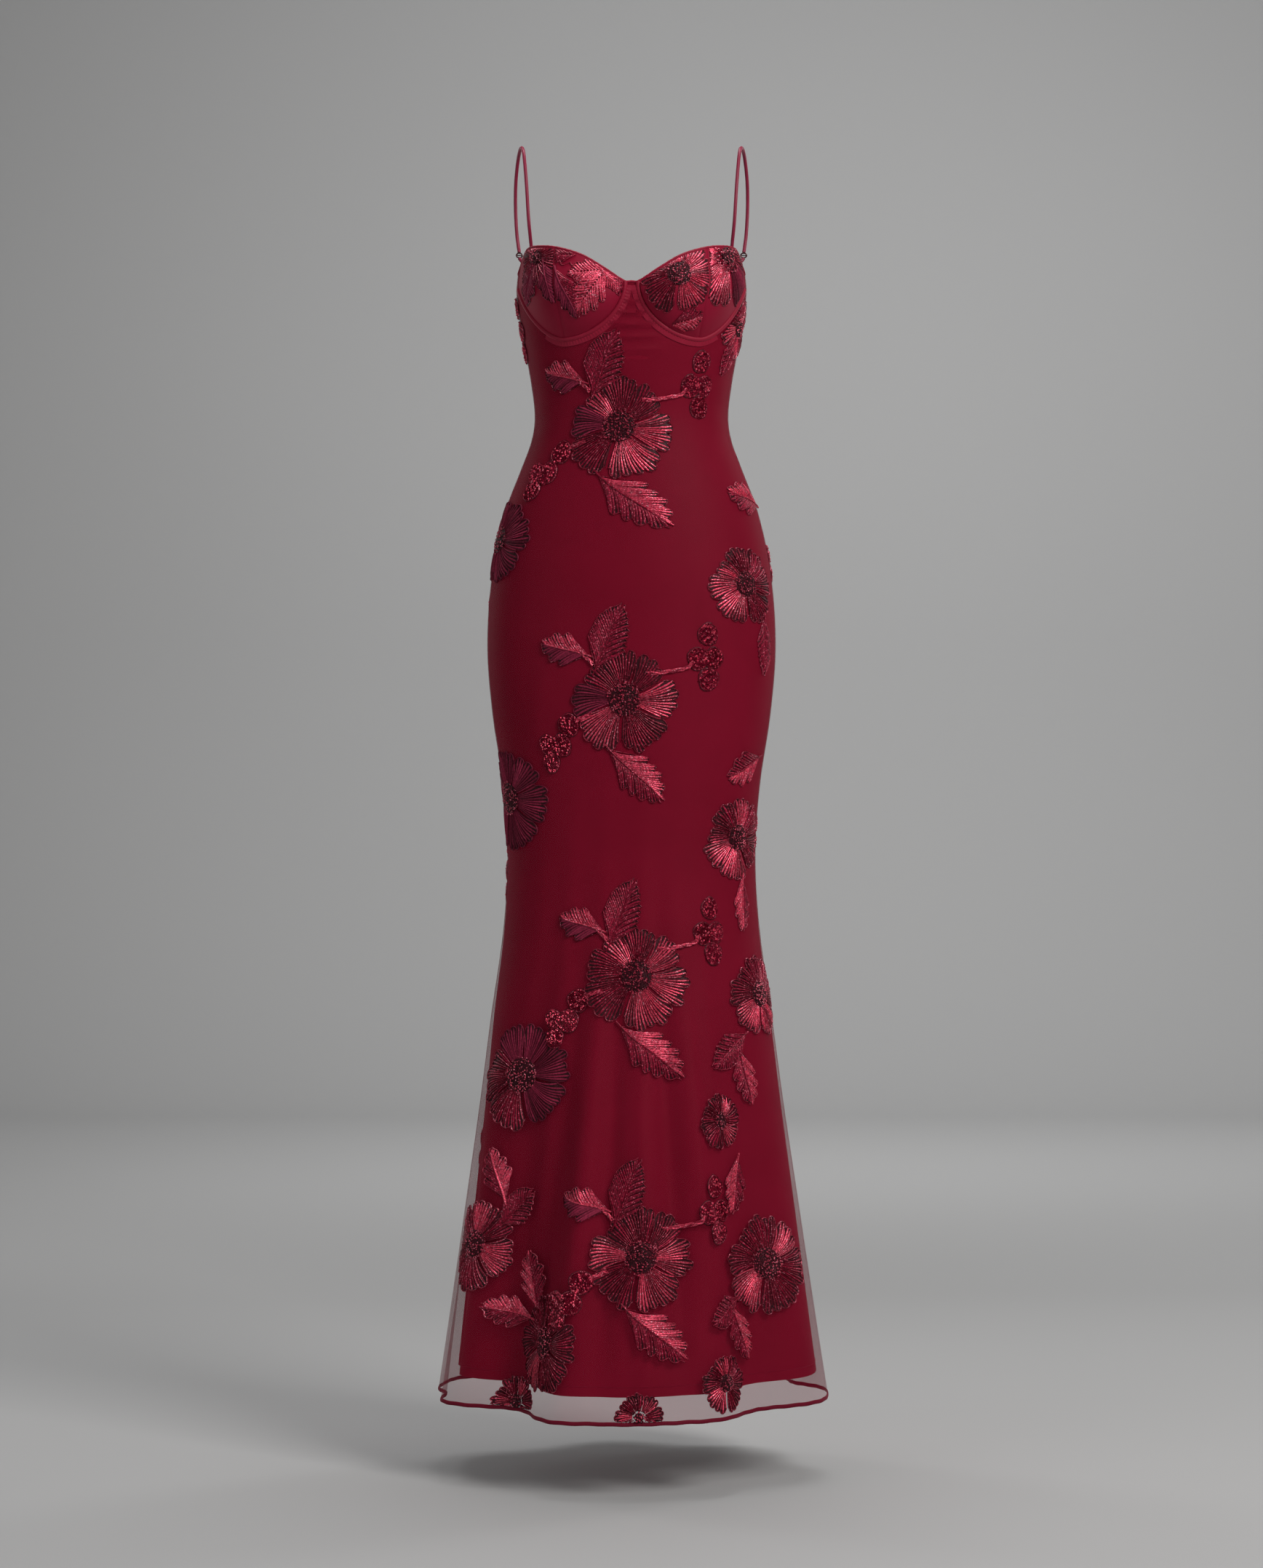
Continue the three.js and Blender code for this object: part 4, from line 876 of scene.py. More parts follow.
def sew_petal(cloth, radius, direction, spread, finish, bend):
    """One petal: a fan of cords in rounded fingers over a filling, with an edging round it."""
    count = max(7, round(radius * math.radians(spread) / CORD_PITCH))
    fingers = max(2, round(spread / FINGER_SPREAD))
    longer = varied(fingers, 0.05)
    start = radius * HEART_SHARE * 0.9

    def reach_at(share):
        finger = (np.clip(share, -1, 1) + 1) / 2 * fingers
        number = np.minimum(finger.astype(int), fingers - 1)
        lobe = np.sqrt(np.maximum(0, 1 - (2 * (finger - number) - 1) ** 2))
        return radius * (0.87 + 0.11 * lobe) * longer[number] * (1 - 0.10 * share**4)

    def fan(share, reach, steps):
        along = start + (reach[:, None] - start) * steps
        turn = np.radians(direction + share[:, None] * spread / 2 * (0.84 + 0.16 * steps) + bend * steps**2)
        return *polar(along, turn), along

    rim = np.linspace(-RIM_REACH, RIM_REACH, 2 * count + 5)
    # The dark filling reaches a millimetre past the cords' tips: painted shade between the cords and a
    # painted shadow round the petal.
    across, up, _ = cut_at_edge(cloth, *fan(rim, reach_at(rim) + 0.0010, PETAL_STEPS)[:2])
    lay_filling(cloth, across, up, 0.0004, DARK_THREAD_AND_SHADE)
    share = np.linspace(-1, 1, count)
    across, up, along = fan(share, reach_at(share) - 0.0004, PETAL_STEPS)
    gap = along * math.radians(spread) / (count - 1)
    across, up, kept = cut_at_edge(cloth, across, up)
    wide = (np.minimum(gap * 0.70, WIDEST_CORD) * TIP_WIDTH)[kept]
    high = (0.0008 + 0.16 * np.minimum(gap, 0.004)) * TIP_HEIGHT
    crown = 0.0003 + 0.0008 * np.sin(math.pi * PETAL_STEPS) * (1 - share[:, None] ** 2)
    light = 1 + 0.25 * np.sin(share * 3 + direction) + 0.42 * (2 * random.random(count) - 1)
    lay_cords(cloth, across, up, wide, high[kept], crown[kept], finish, light[kept])
    if finish == DEEP:
        base = (crown + high * 0.8)[kept][::2]
        lay_cords(cloth, across[::2], up[::2], 0.0008, 0.0007, base, EDGING, 0.6)
    rim = np.linspace(-RIM_REACH, RIM_REACH, 5 * count)
    across, up, _ = fan(rim, reach_at(rim) + 0.0008, np.ones(1))
    stays = stays_inside(cloth, across[:, 0], up[:, 0])
    if stays.sum() > 4:
        edge = (DUSKY, 0.7) if finish == DUSKY else (EDGING, 0.62)
        lay_cords(cloth, across[stays].T, up[stays].T, 0.0013, 0.0012, 0.0002, *edge)


def sew_heart(cloth, radius):
    """The heart: rings of dark thread, packed with knots, and bright dots scattered over it."""
    heart = radius * HEART_SHARE
    rings = np.arange(0.0012, heart, 0.0025)
    dome = 0.0018 * (1 - (rings / heart) ** 2)
    across, up = polar(rings[:, None], ROUND)
    stays = stays_inside(cloth, across, up).all(1)
    tones = varied(int(stays.sum()))
    lay_cords(cloth, across[stays], up[stays], 0.0030, 0.0013, dome[stays, None], DARK_THREAD_AND_SHADE, tones)
    knots = int((heart / 0.0024) ** 2 * 1.15)
    number = np.arange(knots) + 0.5
    away = heart * 0.98 * np.sqrt(number / knots)
    across, up = polar(away, number * math.radians(GOLDEN_TURN))
    stays = stays_inside(cloth, across, up)
    across, up, away = across[stays], up[stays], away[stays]
    size, tones = 0.00125 * varied(len(across), 0.2), varied(len(across), 0.5) * 1.4
    sew_knots(cloth, across, up, size, 0.0011 + 0.0018 * (1 - (away / heart) ** 2), DARK_THREAD_AND_SHADE, tones)
    spots = random.random((max(30, int((heart / 0.0014) ** 2)), 2))
    away = heart * 1.12 * np.sqrt(spots[:, 0])
    across, up = polar(away, 2 * math.pi * spots[:, 1])
    stays = stays_inside(cloth, across, up)
    base = 0.0024 + 0.0016 * np.maximum(0, 1 - (away / heart) ** 2)
    size, tones = 0.0009 * varied(int(stays.sum()), 0.25), varied(int(stays.sum()), 0.45) * 0.9
    sew_knots(cloth, across[stays], up[stays], size, base[stays], EDGING, tones)


def sew_flower(cloth, radius, turn, threads):
    for petal, (direction, spread, reach) in enumerate(PETALS):
        sew_petal(
            cloth, radius * reach, direction + turn, spread * 0.95, THREAD_LETTERS[threads[petal]],
            3.5 + 1.5 * math.sin(petal * 2.3 + radius * 400),
        )
    sew_heart(cloth, radius)


LEAF_EDGE = np.array([(-0.5, 0.04), (-0.36, 0.33), (-0.17, 0.5), (0.2, 0.43), (0.4, 0.24), (0.5, 0.05)])
LEAF_STEPS = np.linspace(0, 1, 5)
LEAF_SHADE_RIM = 0.0011


def sew_leaf(cloth, across, up, length, width, turn, threads, lobed=True):
    """A leaf: slanting cords each side of a raised midrib, in lobes or teeth, with an edging."""
    c, s = math.cos(math.radians(turn)), math.sin(math.radians(turn))

    def placed(along, side):
        sway = 0.05 * length * np.sin(along / length * 3.0)
        return across + along * c - (side + sway) * s, up + along * s + (side + sway) * c

    count = max(9, int(length / CORD_PITCH))
    for number, sign in enumerate((-1, 1)):
        start = np.linspace(-0.47, 0.38, count)
        end = np.minimum(start + np.linspace(0.34, 0.14, count), 0.52)
        place = np.arange(count) / (4.6 if lobed else 2) + 0.3 * number
        lobe = 1 - (2 * (place % 1) - 1) ** 2
        deep = 0.30 if lobed else 0.14
        half = np.interp(end, LEAF_EDGE[:, 0], LEAF_EDGE[:, 1]) * width * (1 - deep + 1.3 * deep * lobe)
        end = end + (0.05 if lobed else 0.02) * lobe

        def rows(start, end, half):
            along = length * (start[:, None] + (end - start)[:, None] * LEAF_STEPS**0.85)
            return placed(along, sign * (0.0004 + half[:, None] * LEAF_STEPS**1.1))

        # Dark filling, wider than the cords by the rim: painted shade between them and a painted shadow round
        # the leaf.
        a, u, _ = cut_at_edge(cloth, *rows(
            np.concatenate([[-0.5], start, [0.45]]), np.concatenate([[-0.42], end + 0.012, [0.58]]),
            np.concatenate([[0.001], half + LEAF_SHADE_RIM, [0.002]]),
        ))
        finish = THREAD_LETTERS[threads[number]]
        lay_filling(cloth, a, u, 0.0004, DARK_THREAD_AND_SHADE)
        a, u, kept = cut_at_edge(cloth, *rows(start, end, half))
        lay_cords(
            cloth, a, u, length * 0.85 / count * 0.74 * np.array([0.8, 0.95, 1, 1, 0.6]),
            0.0013 * np.array([0.7, 1, 1, 0.9, 0.4]), 0.0003 + 0.0005 * np.sin(math.pi * LEAF_STEPS),
            finish, (0.85 + 0.3 * lobe + 0.2 * (2 * random.random(count) - 1))[kept],
        )
        rim_along = np.concatenate([[-0.5], end + 0.008, [0.57]]) * length
        a, u = placed(rim_along, sign * (np.concatenate([[0.0], half, [0.001]]) + 0.0009))
        stays = stays_inside(cloth, a, u)
        if stays.sum() > 3:
            tone = 0.85 if finish != DUSKY else 0.3
            lay_cords(cloth, a[None, stays], u[None, stays], 0.0012, 0.0012, 0.0002, EDGING, tone)
    along = np.linspace(-0.62, 0.47, 9) * length
    a, u, _ = cut_at_edge(cloth, *(v[None] for v in placed(along, 0 * along)))
    lay_cords(cloth, a, u, 0.0022, 0.0021, 0.0004, THREAD_LETTERS[threads[0]], 1.0)


BERRY_GROWTH = 1.07


def sew_berry(cloth, across, up, radius):
    """A berry: a filled rough disc of slanting cords, with an edging and many bright dots."""
    radius = radius * BERRY_GROWTH
    phase = 6.3 * random.random()
    outline = 1 + 0.05 * np.sin(3 * ROUND + phase) + 0.03 * np.sin(5 * ROUND)
    rows = radius * 1.08 * outline[:, None] * np.array([0.05, 0.5, 0.92, 1.0])
    a, u = polar(rows, ROUND[:, None])
    a, u = across + a, up + u
    if not stays_inside(cloth, a, u).all():
        return
    # The dark filling reaches past the berry's cords: painted shade between them and a painted shadow round
    # the berry.
    lay_filling(cloth, a, u, 0.0005, DARK_THREAD_AND_SHADE)
    slant = random.random() * math.pi
    level = np.arange(-radius + 0.0009, radius - 0.0006, 0.0018)
    half = np.sqrt(np.maximum(0, radius**2 - level**2))[:, None] * varied(level.size, 0.06)[:, None]
    along = np.linspace(-1, 1, 7) * half
    level = level[:, None] + 0.0006 * np.sin(along / radius * 5 + phase)
    a = across + along * math.cos(slant) - level * math.sin(slant)
    u = up + along * math.sin(slant) + level * math.cos(slant)
    crown = 0.0004 + 0.0010 * (1 - (along**2 + level**2) / radius**2)
    lay_cords(cloth, a, u, 0.0016, 0.0012, crown, DEEP, varied(len(a), 0.3) * 0.95)
    a, u = polar(radius * outline * 0.97, ROUND)
    lay_cords(cloth, across + a[None], up + u[None], 0.0015, 0.0014, 0.0003, EDGING, 0.7)
    spots = random.random((36, 2)) * [2 * math.pi, 1]
    away = radius * 0.95 * np.sqrt(spots[:, 1])
    a, u = polar(away, spots[:, 0])
    size, base = 0.0011 * varied(36, 0.3), 0.0014 + 0.0010 * (1 - (away / radius) ** 2)
    sew_knots(cloth, across + a, up + u, size, base, SATIN, 1.2 * varied(36, 0.5))


def sew_stem(cloth, points):
    """A stem: three thick cords laid over and under each other."""
    points = np.array(points, float)
    share = np.linspace(0, 1, 15)
    rows = np.linspace(0, 1, len(points))
    line = np.stack([through(rows, points[:, 0], share), through(rows, points[:, 1], share)])
    run = np.gradient(line, axis=1)
    side = np.stack([run[1], -run[0]]) / np.hypot(*run)
    for number, finish in enumerate((SATIN, DEEP, SATIN)):
        twist = 0.0015 * np.sin(share * 14 + number * 2.1)
        a, u = (line + side * twist)[:, None]
        a, u, _ = cut_at_edge(cloth, a, u)
        lay_cords(cloth, a, u, 0.0024, 0.0017, 0.0003 + 0.0003 * number, finish, varied(1, 0.25))


CASING_CLEAR, TOP_CLEAR, HEM_CLEAR, CUP_CLEAR = 0.0075, 0.002, 0.0048, 0.0048
GORE_TOP = -0.176


def on_panels(_, angle, height):
    """True on the front and back panels: above the hem's roll and clear of the casings and binding."""
    side = np.abs(turn_between(0, angle))
    top = np.where(side < WIRE_END, wire_height(side) - CASING_CLEAR, neck_height(side) - TOP_CLEAR)
    return (height < np.where(side < WIRE_START, GORE_TOP, top)) & (height > hem_height(angle) + HEM_CLEAR)


def on_cup_piece(middle, angle, height):
    """True on the one cup piece that is being sewn: the third of the middle's values names it."""
    side = np.abs(angle)
    beyond_seam = side - cup_seam(height)
    beyond_seam = -beyond_seam if middle[2] == "inner" else beyond_seam
    return (
        (beyond_seam > 0.5) & (side > WIRE_START + 1) & (side < WIRE_END - 0.8)
        & (height > wire_height(side) + CUP_CLEAR) & (height < neck_height(side) - 0.0019)
    )


# The repeat of the cloth: middle angle and height, size and turn of each spray's flower.
REPEAT = 0.311
SPRAYS = [
    (-7, -0.330, 0.061, 0), (-3, -0.330 - REPEAT, 0.061, 8), (2, -0.330 - 2 * REPEAT, 0.061, -6),
    (3, -0.330 - 3 * REPEAT, 0.061, 4), (140, -0.420, 0.058, 5), (142, -0.420 - REPEAT, 0.060, -7),
    (146, -0.420 - 2 * REPEAT, 0.061, 10), (148, -0.400 - 3 * REPEAT, 0.061, -4),
    (218, -0.262, 0.052, 12), (219, -0.262 - REPEAT, 0.060, -5), (217, -0.262 - 2 * REPEAT, 0.061, 6),
    (214, -0.262 - 3 * REPEAT, 0.061, 0),
]
# Bright satin goes mostly on the petals to the right and below, which face the light, and deep and dusky
# thread on the others: partly painted light and shade, partly the threads' own colours.
SPRAY_THREADS = ("sddsuds", "sdddusd", "ssdsdds", "sdddsds")
# In a spray: each leaf's place across and up, length, width, turn, threads and whether it is lobed,
# each berry's place and radius, and the points of each stem.
SPRAY_LEAVES = [
    (-0.017, 0.070, 0.074, 0.044, 62, "dd", False), (-0.068, 0.058, 0.054, 0.036, 160, "su", True),
    (0.014, -0.084, 0.080, 0.044, -47, "ds", True),
]
SPRAY_BERRIES = [
    (0.097, 0.075, 0.0115), (0.085, 0.047, 0.012), (0.105, 0.048, 0.011), (0.099, 0.024, 0.012),
    (-0.067, -0.028, 0.012), (-0.0785, -0.051, 0.012), (-0.098, -0.050, 0.0105), (-0.095, -0.0705, 0.011),
]
SPRAY_STEMS = [
    [(0.026, 0.030), (0.048, 0.032), (0.0716, 0.037), (0.079, 0.044)],
    [(-0.038, -0.016), (-0.050, -0.020), (-0.058, -0.024)],
    [(-0.034, 0.040), (-0.044, 0.050), (-0.050, 0.055)],
]
# Flowers between the sprays: angle, height, radius, turn and the thread of each petal; and leaves:
# angle, height, length, width and turn.
# The flowers on the wearer's right side, away from the light, are in dusky and deep thread, and those on the
# lit side have more satin: partly painted light and shade, partly the threads' own colours.
LOOSE_FLOWERS = [
    (53, -0.508, 0.047, 15, "dddsssd"), (57, -0.797, 0.047, 40, "dsddssd"), (67, -0.976, 0.048, 5, "dddddss"),
    (35, -1.115, 0.032, 20, "dsdddds"), (52, -1.278, 0.058, 0, "dsdddsd"),
    (28.5, -1.404, 0.033, 10, "ddsddsd"), (-77, -0.455, 0.050, 10, "uuuuuuu"),
    (-71, -0.752, 0.060, 0, "uuuuuuu"), (-49, -1.066, 0.063, 25, "uuudddu"),
    (-63, -1.258, 0.052, 45, "dsdddds"), (-28, -1.361, 0.058, 12, "dddddsd"),
    (120, -0.200, 0.042, 0, "sddssds"), (76, -0.212, 0.036, 30, "ddddssd"),
]
LOOSE_LEAVES = [
    (68, -0.408, 0.052, 0.036, 160), (66, -0.577, 0.060, 0.024, -95), (60, -0.716, 0.052, 0.036, 200),
    (60, -0.872, 0.056, 0.024, -100), (43, -1.037, 0.056, 0.034, -150), (50, -1.066, 0.060, 0.030, -85),
    (40, -1.188, 0.058, 0.030, -110), (31, -1.326, 0.050, 0.032, -160), (37, -1.350, 0.062, 0.034, -75),
    (-56, -1.180, 0.058, 0.036, 110), (-46, -1.216, 0.054, 0.036, 40), (-36, -1.296, 0.062, 0.036, 100),
    (-46, -1.332, 0.060, 0.034, 165), (66, -0.247, 0.040, 0.022, -120),
]
# What is cut through by the hem: upper halves of flowers.
HEM_FLOWERS = [(-41.5, -1.432, 0.030, 20), (2, -1.437, 0.028, 10)]
# The cups are cut from the same cloth, so each piece, which the third value names, has its own parts
# of motifs.
CUP_FLOWERS = [
    (24, -0.158, "inner", 0.046, 8, "sssddds"), (57, -0.134, "outer", 0.060, 20, "dddsssu"),
    (-56, -0.136, "outer", 0.031, 60, "ddddddd"),
]
CUP_LEAVES = [
    (27, -0.2125, "inner", 0.050, 0.026, 8, "sd"), (-21.5, -0.156, "inner", 0.044, 0.028, 178, "ss"),
    (-20.5, -0.1775, "inner", 0.058, 0.038, 225, "ss"), (-10.5, -0.1665, "inner", 0.030, 0.016, -55, "ss"),
    (-30, -0.136, "inner", 0.060, 0.024, 172, "dd"), (-61, -0.161, "outer", 0.050, 0.028, -115, "uu"),
    (-7, -0.166, "inner", 0.044, 0.024, -60, "dd"), (-46, -0.166, "outer", 0.046, 0.028, -80, "uu"),
    (-34.5, -0.180, "inner", 0.056, 0.028, -70, "ud"),
]

UPPER_FROM = -0.80
beds = {
    word: new_bed(on_body, on_panels) for word in ("front_upper", "front_lower", "back_left", "back_right")
}
for word in ("cup_left", "cup_right"):
    beds[word] = new_bed(on_cup, on_cup_piece)


def cloth_at(angle, height, part=None):
    """The bed that a motif is sewn on, and the motif's middle."""
    side = turn_between(0, angle)
    if part:
        word = "cup_left" if angle > 0 else "cup_right"
    elif abs(side) <= 90:
        word = "front_upper" if height > UPPER_FROM else "front_lower"
    else:
        word = "back_left" if side > 0 else "back_right"
    return beds[word], (angle, height, part)


for number, (angle, height, radius, turn) in enumerate(SPRAYS):
    cloth = cloth_at(angle, height)
    for leaf in SPRAY_LEAVES:
        sew_leaf(cloth, *leaf)
    for stem in SPRAY_STEMS:
        sew_stem(cloth, stem)
    for berry in SPRAY_BERRIES:
        sew_berry(cloth, *berry)
    sew_flower(cloth, radius, turn, SPRAY_THREADS[number % 4])
for angle, height, radius, turn, threads in LOOSE_FLOWERS:
    sew_flower(cloth_at(angle, height), radius, turn, threads)
for number, (angle, height, *leaf) in enumerate(LOOSE_LEAVES):
    threads, lobed = (("sd", True), ("dd", False), ("ds", True))[number % 3]
    sew_leaf(cloth_at(angle, height), 0, 0, *leaf, threads, lobed)
for angle, height, radius, turn in HEM_FLOWERS:
    sew_flower(cloth_at(angle, height), radius, turn, "dsddsdd")
for angle, height, part, *flower in CUP_FLOWERS:
    sew_flower(cloth_at(angle, height, part), *flower)
for angle, height, part, *leaf in CUP_LEAVES:
    sew_leaf(cloth_at(angle, height, part), 0, 0, *leaf)

for word, bed in beds.items():
    piece = sew_bed(f"embroidery_{word}", bed, thread_finishes, True)
    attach(piece, "dress")

# Straps, sliders and tabs
# Round rouleau straps of satin turned through, sewn inside the cups' top corners. Each runs over the
# shoulder to a small enamelled slider, and a doubled tab goes on from it to the back's top edge.

STRAP_RADIUS = 0.0021
STRAP_FOOT_ANGLE, STRAP_FOOT_BELOW, STRAP_FOOT_OUT = 66.5, 0.011, -0.0058
TAB_ANGLE, TAB_BELOW, TAB_OUT = 107.0, 0.012, -0.0064
SLIDER = np.array([0.1305, 0.027, -0.121])
SLIDER_HALF_WIDE, SLIDER_HALF_TALL, SLIDER_WIRE = 0.0034, 0.0027, 0.0008
STRAP_LINE = np.array([
    (0.1176, -0.051, -0.092), (0.1206, -0.044, -0.046), (0.124, -0.030, -0.011),
    (0.1272, -0.010, -0.0021), (0.131, 0.012, -0.009), (0.1344, 0.026, -0.034),
    (0.1352, 0.033, -0.062), (0.1336, 0.032, -0.095),
])


def smooth_line(points, count):
    """A smooth run through points, evenly spaced by its length."""
    points = np.asarray(points, float)
    gone = run_length(points)
    fine = np.linspace(0, gone[-1], 12 * count)
    line = np.stack([through(gone, points[:, axis], fine) for axis in range(3)], -1)
    length = run_length(line)
    even = np.linspace(0, length[-1], count)
    return np.stack([np.interp(even, length, line[:, axis]) for axis in range(3)], -1)


# Satin cut on the bias: a low broad sheen, with the weave running slantwise round the strap.
satin = dyed_finish(
    "strap_satin", (0.26, 0.008, 0.042), 0.36, [(0.22, 0.006, 0.034), (0.31, 0.010, 0.052)],
    lambda m: cloud(m, 90), lambda m: bands(m, "DIAGONAL", 420, 1.2, 2), 0.3, 0.0003, Sheen_Weight=0.3,
    Sheen_Roughness=0.3, Sheen_Tint=(1.0, 0.35, 0.45, 1), Specular_IOR_Level=0.4,
)
# Dark red enamel over metal, worn a little brighter where cloth rubs it.
enamel = dyed_finish(
    "dark_enamel", (0.06, 0.003, 0.010), 0.28, [(0.035, 0.002, 0.006), (0.11, 0.010, 0.022)],
    lambda m: cloud(m, 500, 4), None, 0.15, 0.0002, Metallic=0.6, Coat_Weight=0.4, Coat_Roughness=0.15,
)


def slider_ring(name, middle):
    """A small figure-of-eight slider: an oval ring with a bar across."""
    turn = np.linspace(0, 2 * math.pi, 33)
    oval = np.stack([SLIDER_HALF_WIDE * np.cos(turn), 0 * turn, SLIDER_HALF_TALL * np.sin(turn)], -1)
    ring = run_tube(name, middle + oval, SLIDER_WIRE, 10, enamel)
    bar_line = np.linspace((-SLIDER_HALF_WIDE, 0, 0), (SLIDER_HALF_WIDE, 0, 0), 9)
    bar = run_tube(name + "_bar", middle + bar_line, SLIDER_WIRE * 0.85, 10, enamel)
    return ring, bar


for word, side in (("left", 1), ("right", -1)):
    mirror = np.array([side, 1, 1])
    neck = float(neck_height(STRAP_FOOT_ANGLE))
    foot = [
        on_cup(STRAP_FOOT_ANGLE * side, neck - STRAP_FOOT_BELOW, STRAP_FOOT_OUT - 0.0008),
        on_cup(STRAP_FOOT_ANGLE * side, neck, STRAP_FOOT_OUT),
    ]
    slider = SLIDER * mirror
    end = slider + np.array([side * 0.0002, 0.0004, SLIDER_HALF_TALL + 0.0009])
    line = smooth_line([*foot, *(STRAP_LINE * mirror), end], 150)
    gone = np.arange(len(line))[:, None]
    turn = np.linspace(0, 2 * math.pi, 14, endpoint=False)
    seam = 1 - 0.07 * np.exp(-(((turn - math.pi) / 0.35) ** 2)) + 0.012 * np.sin(gone * 0.9 + 3 * turn)
    strap = run_tube(f"strap_{word}_rouleau", line, STRAP_RADIUS * seam, 14, satin)
    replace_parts(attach(strap, "dress"), f"strap_{word}")

    back_neck = float(neck_height(TAB_ANGLE))
    tab_line = smooth_line([
        slider + np.array([-side * 0.0002, -0.0002, -SLIDER_HALF_TALL - 0.0008]),
        on_body(TAB_ANGLE * side, back_neck + 0.003, TAB_OUT),
        on_body(TAB_ANGLE * side, back_neck - TAB_BELOW, TAB_OUT),
    ], 40)
    fold = 1 + 0.22 * np.abs(np.cos(turn)) - 0.16 * np.abs(np.sin(turn)) ** 6
    tab = run_tube(f"strap_tab_{word}_doubled", tab_line, STRAP_RADIUS * fold[None], 14, satin)
    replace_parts(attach(tab, "dress"), f"strap_tab_{word}")

    ring, bar = slider_ring(f"slider_ring_{word}", slider)
    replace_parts(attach(ring, "dress"), f"strap_slider_{word}")
    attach(bar, "dress")

# Concealed zip
# The closure in the centre back: woven tapes and two rows of coil inside the seam, and outside only
# the slider at the top with its drop pull, which swings on the slider's ears.

ZIP_END = -0.430
TAPE_HALF_WIDE, TAPE_DEPTH, TAPE_THICK = 0.011, 0.0041, 0.0009
TOOTH_PITCH, TAPE_STITCH_PITCH = 0.0014, 0.0032
tape_cloth = dyed_finish(
    "zip_tape_cloth", (0.14, 0.004, 0.018), 0.65, [(0.10, 0.003, 0.012), (0.17, 0.006, 0.024)],
    lambda m: bands(m, "DIAGONAL", 260, 0.4, 1, 1), None, 0.5, Sheen_Weight=0.2, Specular_IOR_Level=0.2,
)
tape_half_angle = TAPE_HALF_WIDE / METRES_PER_DEGREE
tape_top = float(neck_height(180.0)) - 0.003
angle, height = np.meshgrid(
    180 + np.linspace(-tape_half_angle, tape_half_angle, 15), np.linspace(ZIP_END, tape_top, 60)
)
beside = np.abs(angle - 180) / tape_half_angle
ridge = 0.0004 * np.exp(-(((beside - 0.24) / 0.1) ** 2))
tape = sew_shell(
    "zip_tape_woven", on_body(angle, height, -TAPE_DEPTH - ridge),
    on_body(angle, height, -TAPE_DEPTH - TAPE_THICK - ridge), tape_cloth, cloth_flat(angle, height),
)
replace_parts(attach(tape, "dress"), "zip_tape")

levels = np.arange(ZIP_END + 0.004, tape_top - 0.004, TOOTH_PITCH)


def inside_back(angle, height, out=0.0):
    return on_body(angle, height, -TAPE_DEPTH - TAPE_THICK + 0.0001 - out)


coil = new_bed(inside_back)
zip_cloth = coil, (180.0, ZIP_END)
for side in (-1, 1):
    up = (levels - ZIP_END + (TOOTH_PITCH / 2 if side > 0 else 0))[:, None] + np.zeros(4)
    across = side * np.linspace(0.0026, -0.0006, 4) + 0 * up
    lay_cords(zip_cloth, across, up, 0.0008, 0.0011, 0.0, 0)
for side in (-0.0068, 0.0068):
    starts = np.arange(ZIP_END + 0.004, tape_top - 0.005, TAPE_STITCH_PITCH) - ZIP_END
    up = starts[:, None] + [0, 0.0011, 0.0023]
    lay_cords(zip_cloth, np.full(up.shape, side), up, 0.0005, 0.0004, 0.0, 0)
coil["faces"] = [np.flip(part, -1) for part in coil["faces"]]
teeth = sew_bed("zip_coil_and_stitches", coil, [tape_cloth])
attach(teeth, "dress")
for node in ("zip_slider", "zip_pull"):
    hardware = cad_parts[node]
    hardware.data.materials.clear()
    hardware.data.materials.append(enamel)

# Lining hem
# The jersey is turned up once and held by a row of small stitches, which show through the mesh.

STITCH_ABOVE, STITCH_PITCH, STITCH_LONG = 0.011, 0.0034, 0.0024


def on_lining(angle, height, out=0.0):
    return on_body(angle, height, -lining_depth(angle, height) + out)


for word, (start, end) in SEAMS.items():
    bed = new_bed(on_lining)
    level = HEM + LINING_HEM_LIFT + STITCH_ABOVE
    step = STITCH_PITCH / float(round_speed((start + end) / 2, level))
    angles = np.arange(start + 0.4, end - 0.4, step)
    across = (angles[:, None] - start) * float(round_speed(start, level))
    across = across + np.array([0, STITCH_LONG / 2, STITCH_LONG])
    up = hem_height(angles)[:, None] - HEM + np.zeros(3)
    lay_cords((bed, (start, level)), across, up, 0.0006, 0.0005, 0.0, 0)
    stitches = sew_bed(f"lining_hem_stitches_{word}", bed, [casing_cloth])
    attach(stitches, "dress")

# Floor, light and camera
# A plain pale floor that runs up into a plain wall far behind, under soft studio light, with one light
# for the wall. The dress hangs eight centimetres above the floor, and the camera is level with its middle.

FLOOR_HEIGHT = -1.53
WALL_START, WALL_BEND, WALL_TOP = 4.8, 1.2, 7.5
stone, shader = new_finish("studio_floor", (0.50, 0.50, 0.50), 0.9, Specular_IOR_Level=0.15)
tint = two_tones(stone, cloud(stone, 0.6, 2), (0.49, 0.49, 0.49), (0.51, 0.51, 0.51))
connect(stone, tint, shader, "Base Color")
bend = np.linspace(0, math.pi / 2, 17)
depths = np.concatenate([[-12.0, -3.0], WALL_START + WALL_BEND * np.sin(bend), [WALL_START + WALL_BEND]])
levels = np.concatenate([[0.0, 0.0], WALL_BEND * (1 - np.cos(bend)), [WALL_TOP]]) + FLOOR_HEIGHT
widths = np.linspace(-14, 14, 7)
points = np.stack(
    [np.broadcast_to(widths, (len(depths), 7)), np.repeat(depths[:, None], 7, 1),
     np.repeat(levels[:, None], 7, 1)], -1,
)
floor = sew_mesh("studio_floor", points, [grid_faces(len(depths), 7)], [stone])


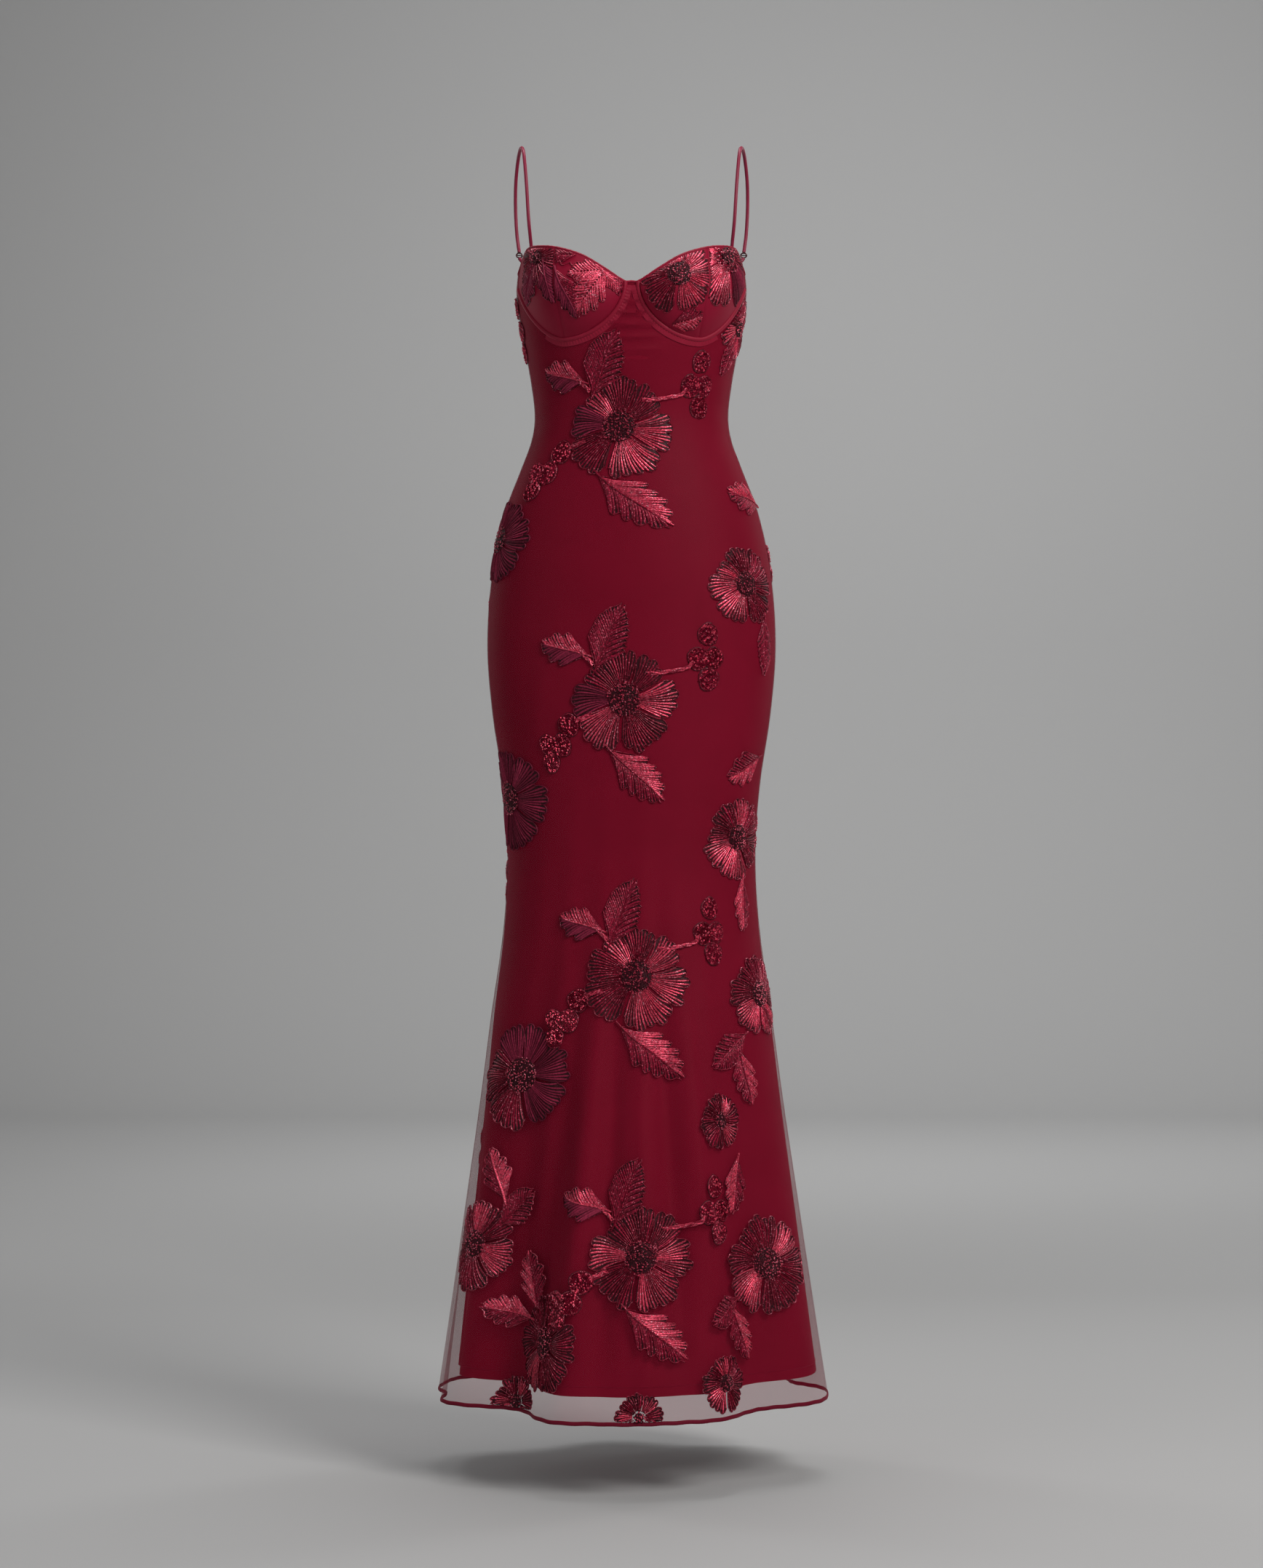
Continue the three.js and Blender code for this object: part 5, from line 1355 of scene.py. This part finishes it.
def hang_light(name, place, aim, size, watts, colour):
    lamp = bpy.data.lights.new(name, "AREA")
    lamp.shape = "RECTANGLE"
    lamp.size, lamp.size_y = size
    lamp.energy = watts
    lamp.color = colour
    light = bpy.data.objects.new(name, lamp)
    light.location = place
    light.visible_camera = False
    light.rotation_mode = "QUATERNION"
    light.rotation_quaternion = (Vector(aim) - Vector(place)).to_track_quat("-Z", "Y")
    bpy.context.scene.collection.objects.link(light)


MIDDLE = (0.0, 0.0, -0.75)
hang_light("key_light", (2.1, -2.5, 1.5), MIDDLE, (1.4, 1.4), 88, (1.0, 0.98, 0.96))
hang_light("fill_light", (-2.8, -2.4, 0.2), MIDDLE, (2.0, 2.4), 14, (0.97, 0.98, 1.0))
hang_light("top_light", (0.1, 0.3, 2.2), (0.0, 0.0, -1.5), (1.2, 1.2), 38, (1.0, 1.0, 1.0))
hang_light("left_edge_light", (-2.0, 1.6, 0.3), MIDDLE, (0.6, 2.2), 9, (1.0, 1.0, 1.0))
hang_light("right_edge_light", (2.0, 1.6, 0.3), MIDDLE, (0.6, 2.2), 10, (1.0, 1.0, 1.0))
hang_light("wall_light", (0.7, 3.0, 1.0), (0.5, 6.0, -0.7), (3.0, 1.2), 52, (1.0, 1.0, 1.0))

world = bpy.data.worlds.new("studio")
world.use_nodes = True
world.node_tree.nodes["Background"].inputs["Color"].default_value = (0.5, 0.5, 0.5, 1)
world.node_tree.nodes["Background"].inputs["Strength"].default_value = 0.25
bpy.context.scene.world = world
bpy.context.scene.view_settings.view_transform = "Standard"

PHOTO_ROWS = 2155
METRES_PER_PIXEL = 0.0008414
CAMERA_DISTANCE = 4.5
CAMERA_HEIGHT = -0.7358
SENSOR = 36.0
lens = bpy.data.cameras.new("photo_camera")
lens.sensor_width = SENSOR
lens.lens = SENSOR * CAMERA_DISTANCE / (PHOTO_ROWS * METRES_PER_PIXEL)
camera = bpy.data.objects.new("photo_camera", lens)
camera.location = (0.0, -CAMERA_DISTANCE, CAMERA_HEIGHT)
camera.rotation_euler = (math.pi / 2, 0.0, 0.0)
bpy.context.scene.collection.objects.link(camera)
bpy.context.scene.camera = camera
